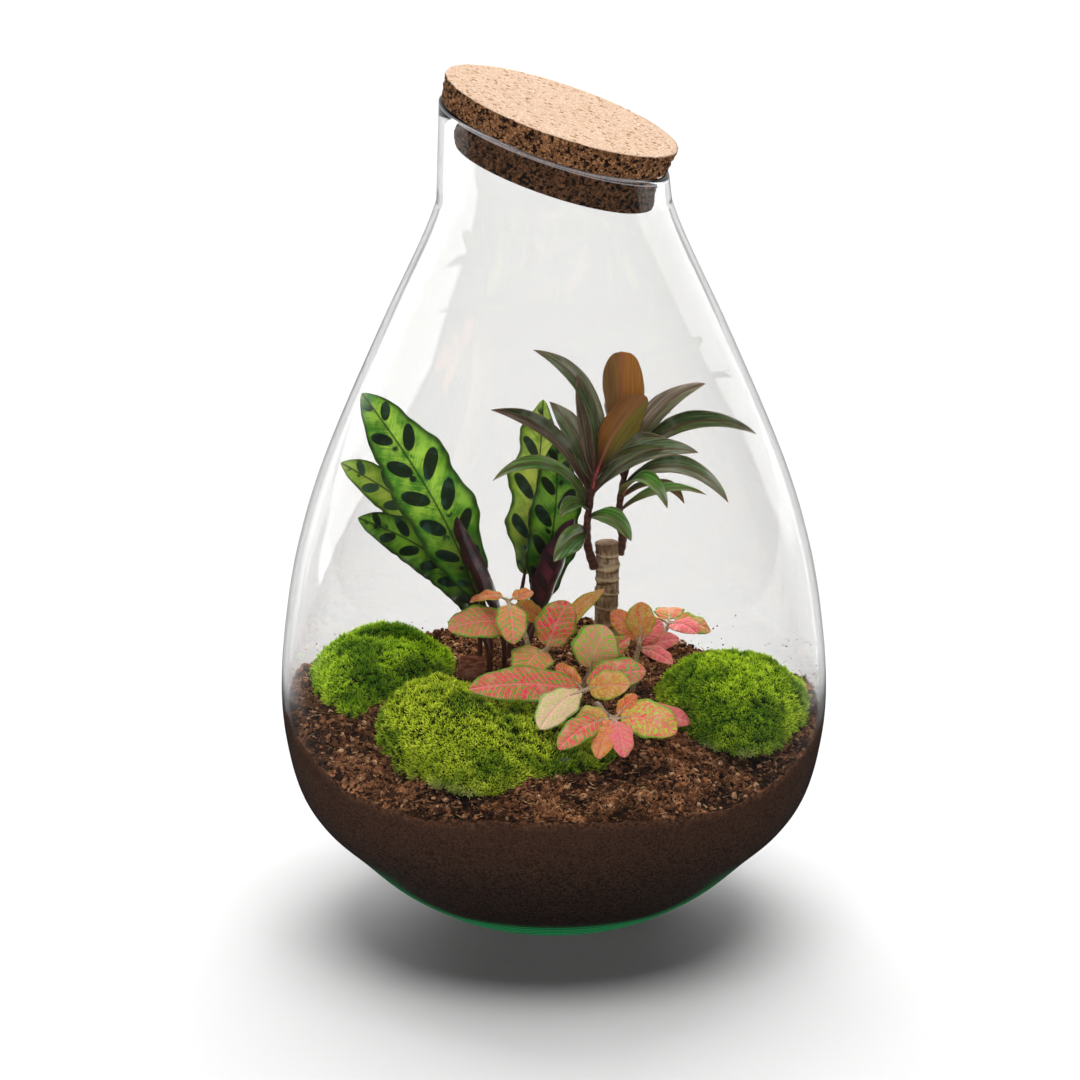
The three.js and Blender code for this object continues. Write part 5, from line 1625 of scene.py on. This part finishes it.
vein_net = effect_group("vein_net", {"Leaf mm": (0, 0, 0), "Cover": 0.5, "Seed": 0.0}, net_of_veins)


def fittonia_material(name, dim, rough):
    """A soft leaf whose flesh, veins and margin have the colours that the mesh gives each leaf, with painted
    highlights.
    """
    tree, shader, made = finish(name)
    veins = effect(tree, vein_net, {
        "Leaf mm": field(tree, "leaf_mm", "Vector"), "Cover": field(tree, "vein_cover"),
        "Seed": field(tree, "leaf_seed"),
    })
    flesh, vein_colour = field(tree, "flesh_colour", "Color"), field(tree, "vein_colour", "Color")
    cloud = lumps(tree, 5, 3.0)
    flesh = mix(tree, spread(tree, cloud, 0.35, 0.7, 0.0, 0.4), flesh, vein_colour)
    pink = stain(tree, vein_colour, patches(tree, 3, 2.0, 0.4, 0.7, 0.25), "#f4a894")
    colour = mix(tree, veins["Veins"], flesh, pink)
    # Painted highlights: pale patches where the leaf would shine.
    colour = stain(tree, colour, patches(tree, 7, 2.0, 0.52, 0.7, 0.2), "#ffe0b8")
    colour = stain(tree, colour, veins["Ribs"], "#ffc8ba", 0.3)
    colour = mix(tree, times(tree, veins["Margin"], 0.75), colour, field(tree, "margin_colour", "Color"))
    set_inputs(tree, shader, {
        "Base Color": mix(tree, 1.0, colour, dim, "MULTIPLY"),
        "Roughness": spread(tree, cloud, 0.3, 0.7, rough, rough + 0.14), "Specular IOR Level": 0.4,
        "Subsurface Weight": 0.12, "Subsurface Radius": (1.0, 0.5, 0.3), "Subsurface Scale": 0.001,
    })
    bump(tree, shader, veins["Ribs"], -0.25, 0.7)
    return made


fittonia_upper = fittonia_material("fittonia_upper", (1, 1, 1, 1), 0.42)
fittonia_under = fittonia_material("fittonia_under", (1, 0.95, 0.88, 1), 0.55)
tree, shader, fittonia_stem = finish("fittonia_stem")
soft = lumps(tree, 1.4, 3.0, 0.6)
stem_colour = stain(tree, paint("#b98d73"), spread(tree, soft, 0.35, 0.65), "#d9c2a4")
stem_colour = stain(tree, stem_colour, patches(tree, 6, 2.0, 0.45, 0.65, 0.5), "#a9a268")
set_inputs(tree, shader, {"Base Color": stem_colour, "Roughness": 0.7, "Sheen Weight": 0.4})
bump(tree, shader, soft, 0.15, 0.6)

fuzz_hairs = 260
for place, (stem, leaves) in enumerate(fittonias):
    pile = Pile()
    random = np.random.default_rng(200 + place)
    coarse, fine_curve = smooth_curve(stem, 2), smooth_curve(stem, 12)
    share = np.linspace(0, 1, len(fine_curve))
    tube(pile, fine_curve, 1.5 - 0.5 * share + 0.08 * np.sin(share * 40), 12, 2)
    for look, at_share, tip, width, bend, face, *stalk in leaves:
        root = along_curve(coarse, at_share)
        leaf = {**net_common, "root": root, "tip": tip, "bend": bend, "width": width, "face": face}
        leaf["stalk"] = stalk[0] if stalk else usual_stalk
        flesh, vein, margin, cover = net_looks[look]
        vein_pairs = max(5, round(np.linalg.norm(np.array(tip) - root) / 3.4))
        leaf_blade(
            pile, leaf, 40, 18, 0.5, 0.3, 0.22, vein_pairs,
            flesh_colour=paint(flesh), vein_colour=paint(vein), margin_colour=paint(margin),
            vein_cover=cover, leaf_seed=float(random.uniform(0, 1)),
        )
        leaf_stalk(pile, leaf, 5, 8, 0.8, 0.6)
    # Fuzz on the stem.
    spots = fine_curve[random.integers(4, len(fine_curve), fuzz_hairs)]
    ways = unit(random.normal(0, 1, (fuzz_hairs, 3)))
    lengths = random.uniform(0.9, 1.5, fuzz_hairs)
    fibre_heap(pile, spots + ways * 1.5, ways, lengths, np.full(fuzz_hairs, 0.05), random, 2)
    pile.piece(
        f"fittonia_{place + 1}_foliage", [fittonia_upper, fittonia_under, fittonia_stem], "fittonia_leaf",
        f"fittonia_shoot_{place + 1}",
    )

# ---------------------------------------------------------------- bark chip and pebble
# A flake of red-brown bark stands in the soil by the left cushion, and a small blue-grey stone lies at the
# edge of the front one.


def rounded_cube(cuts):
    """A cube from -1 to 1 in small squares, its points drawn onto a ball, and its faces."""
    grid = np.linspace(-1, 1, cuts + 1)
    points, faces = [], []
    for axis in range(3):
        for sign in (-1, 1):
            first, second = np.meshgrid(grid, grid, indexing="ij")
            side = np.zeros(first.shape + (3,))
            side[..., axis] = sign
            side[..., (axis + 1) % 3] = first
            side[..., (axis + 2) % 3] = second
            start = sum(len(part) for part in points)
            row, column = np.meshgrid(np.arange(cuts), np.arange(cuts), indexing="ij")
            corner = (start + row * (cuts + 1) + column).ravel()
            around = [corner, corner + cuts + 1, corner + cuts + 2, corner + 1]
            faces.append(np.stack(around if sign > 0 else [corner, *around[:0:-1]], axis=1))
            points.append(side.reshape(-1, 3))
    cube = np.concatenate(points)
    return cube, unit(cube), np.concatenate(faces)


def turn_points(points, angles):
    """Points turned about X, then Y, then Z, by angles in degrees."""
    for axis, angle in enumerate(np.radians(angles)):
        first, second = (axis + 1) % 3, (axis + 2) % 3
        turned_points = points.copy()
        turned_points[:, first] = points[:, first] * math.cos(angle) - points[:, second] * math.sin(angle)
        turned_points[:, second] = points[:, first] * math.sin(angle) + points[:, second] * math.cos(angle)
        points = turned_points
    return points


chip_size = np.array([13.5, 3, 12]) / 2
chip_place = (-39.5, 20, 111.5)
cube, ball, faces = rounded_cube(26)
body = cube * 0.93 * chip_size + ball * 0.05 * chip_size.mean()
layers = 0.35 * relief(body * (0.4, 1, 2.2), 1.4, 92) + 0.3 * relief(body, 3, 93)
taper = 1 - 0.04 * np.abs(cube[:, [2]]) * np.array([1, 0, 0])
body = body * taper + np.stack([0.4 * layers, layers * 0.6, 0.5 * layers], axis=1)
chip = Pile()
chip.add(turn_points(body, (-22, 6, 8)) + chip_place, [faces])
tree, shader, bark_finish = finish("red_bark")
grainy = lumps(tree, 1.6, 4.0, 0.65, (0.4, 1, 1.8))
bark_red = stain(tree, paint("#74402f"), spread(tree, grainy, 0.35, 0.68), "#b97a62")
bark_red = stain(tree, bark_red, patches(tree, 4, 2.0, 0.55, 0.7, 0.6), "#b98567")
set_inputs(tree, shader, {"Base Color": bark_red, "Roughness": 0.85})
bump(tree, shader, grainy, 0.4, 0.7)
chip.piece("bark_flake", [bark_finish], "bark", "bark_chip")

stone_size = np.array([5.4, 4.4, 3.9]) / 2
stone_place = (5, -83.5, 99.5)
cube, ball, faces = rounded_cube(14)
body = (ball * 0.82 + cube * 0.16) * stone_size
body = body + ball * (0.14 * relief(body, 1.5, 96) + 0.1 * relief(body, 0.7, 97))[:, None]
stone = Pile()
stone.add(turn_points(body, (0, 0, 20)) + stone_place, [faces])
tree, shader, stone_finish = finish("blue_grey_stone")
speck = lumps(tree, 0.7, 4.0, 0.7)
stone_colour = stain(tree, paint("#3b3f4c"), spread(tree, speck, 0.35, 0.68), "#868b98")
set_inputs(tree, shader, {"Base Color": stone_colour, "Roughness": 0.5})
bump(tree, shader, speck, 0.15, 0.6)
stone.piece("stone_small", [stone_finish], "stone", "pebble")
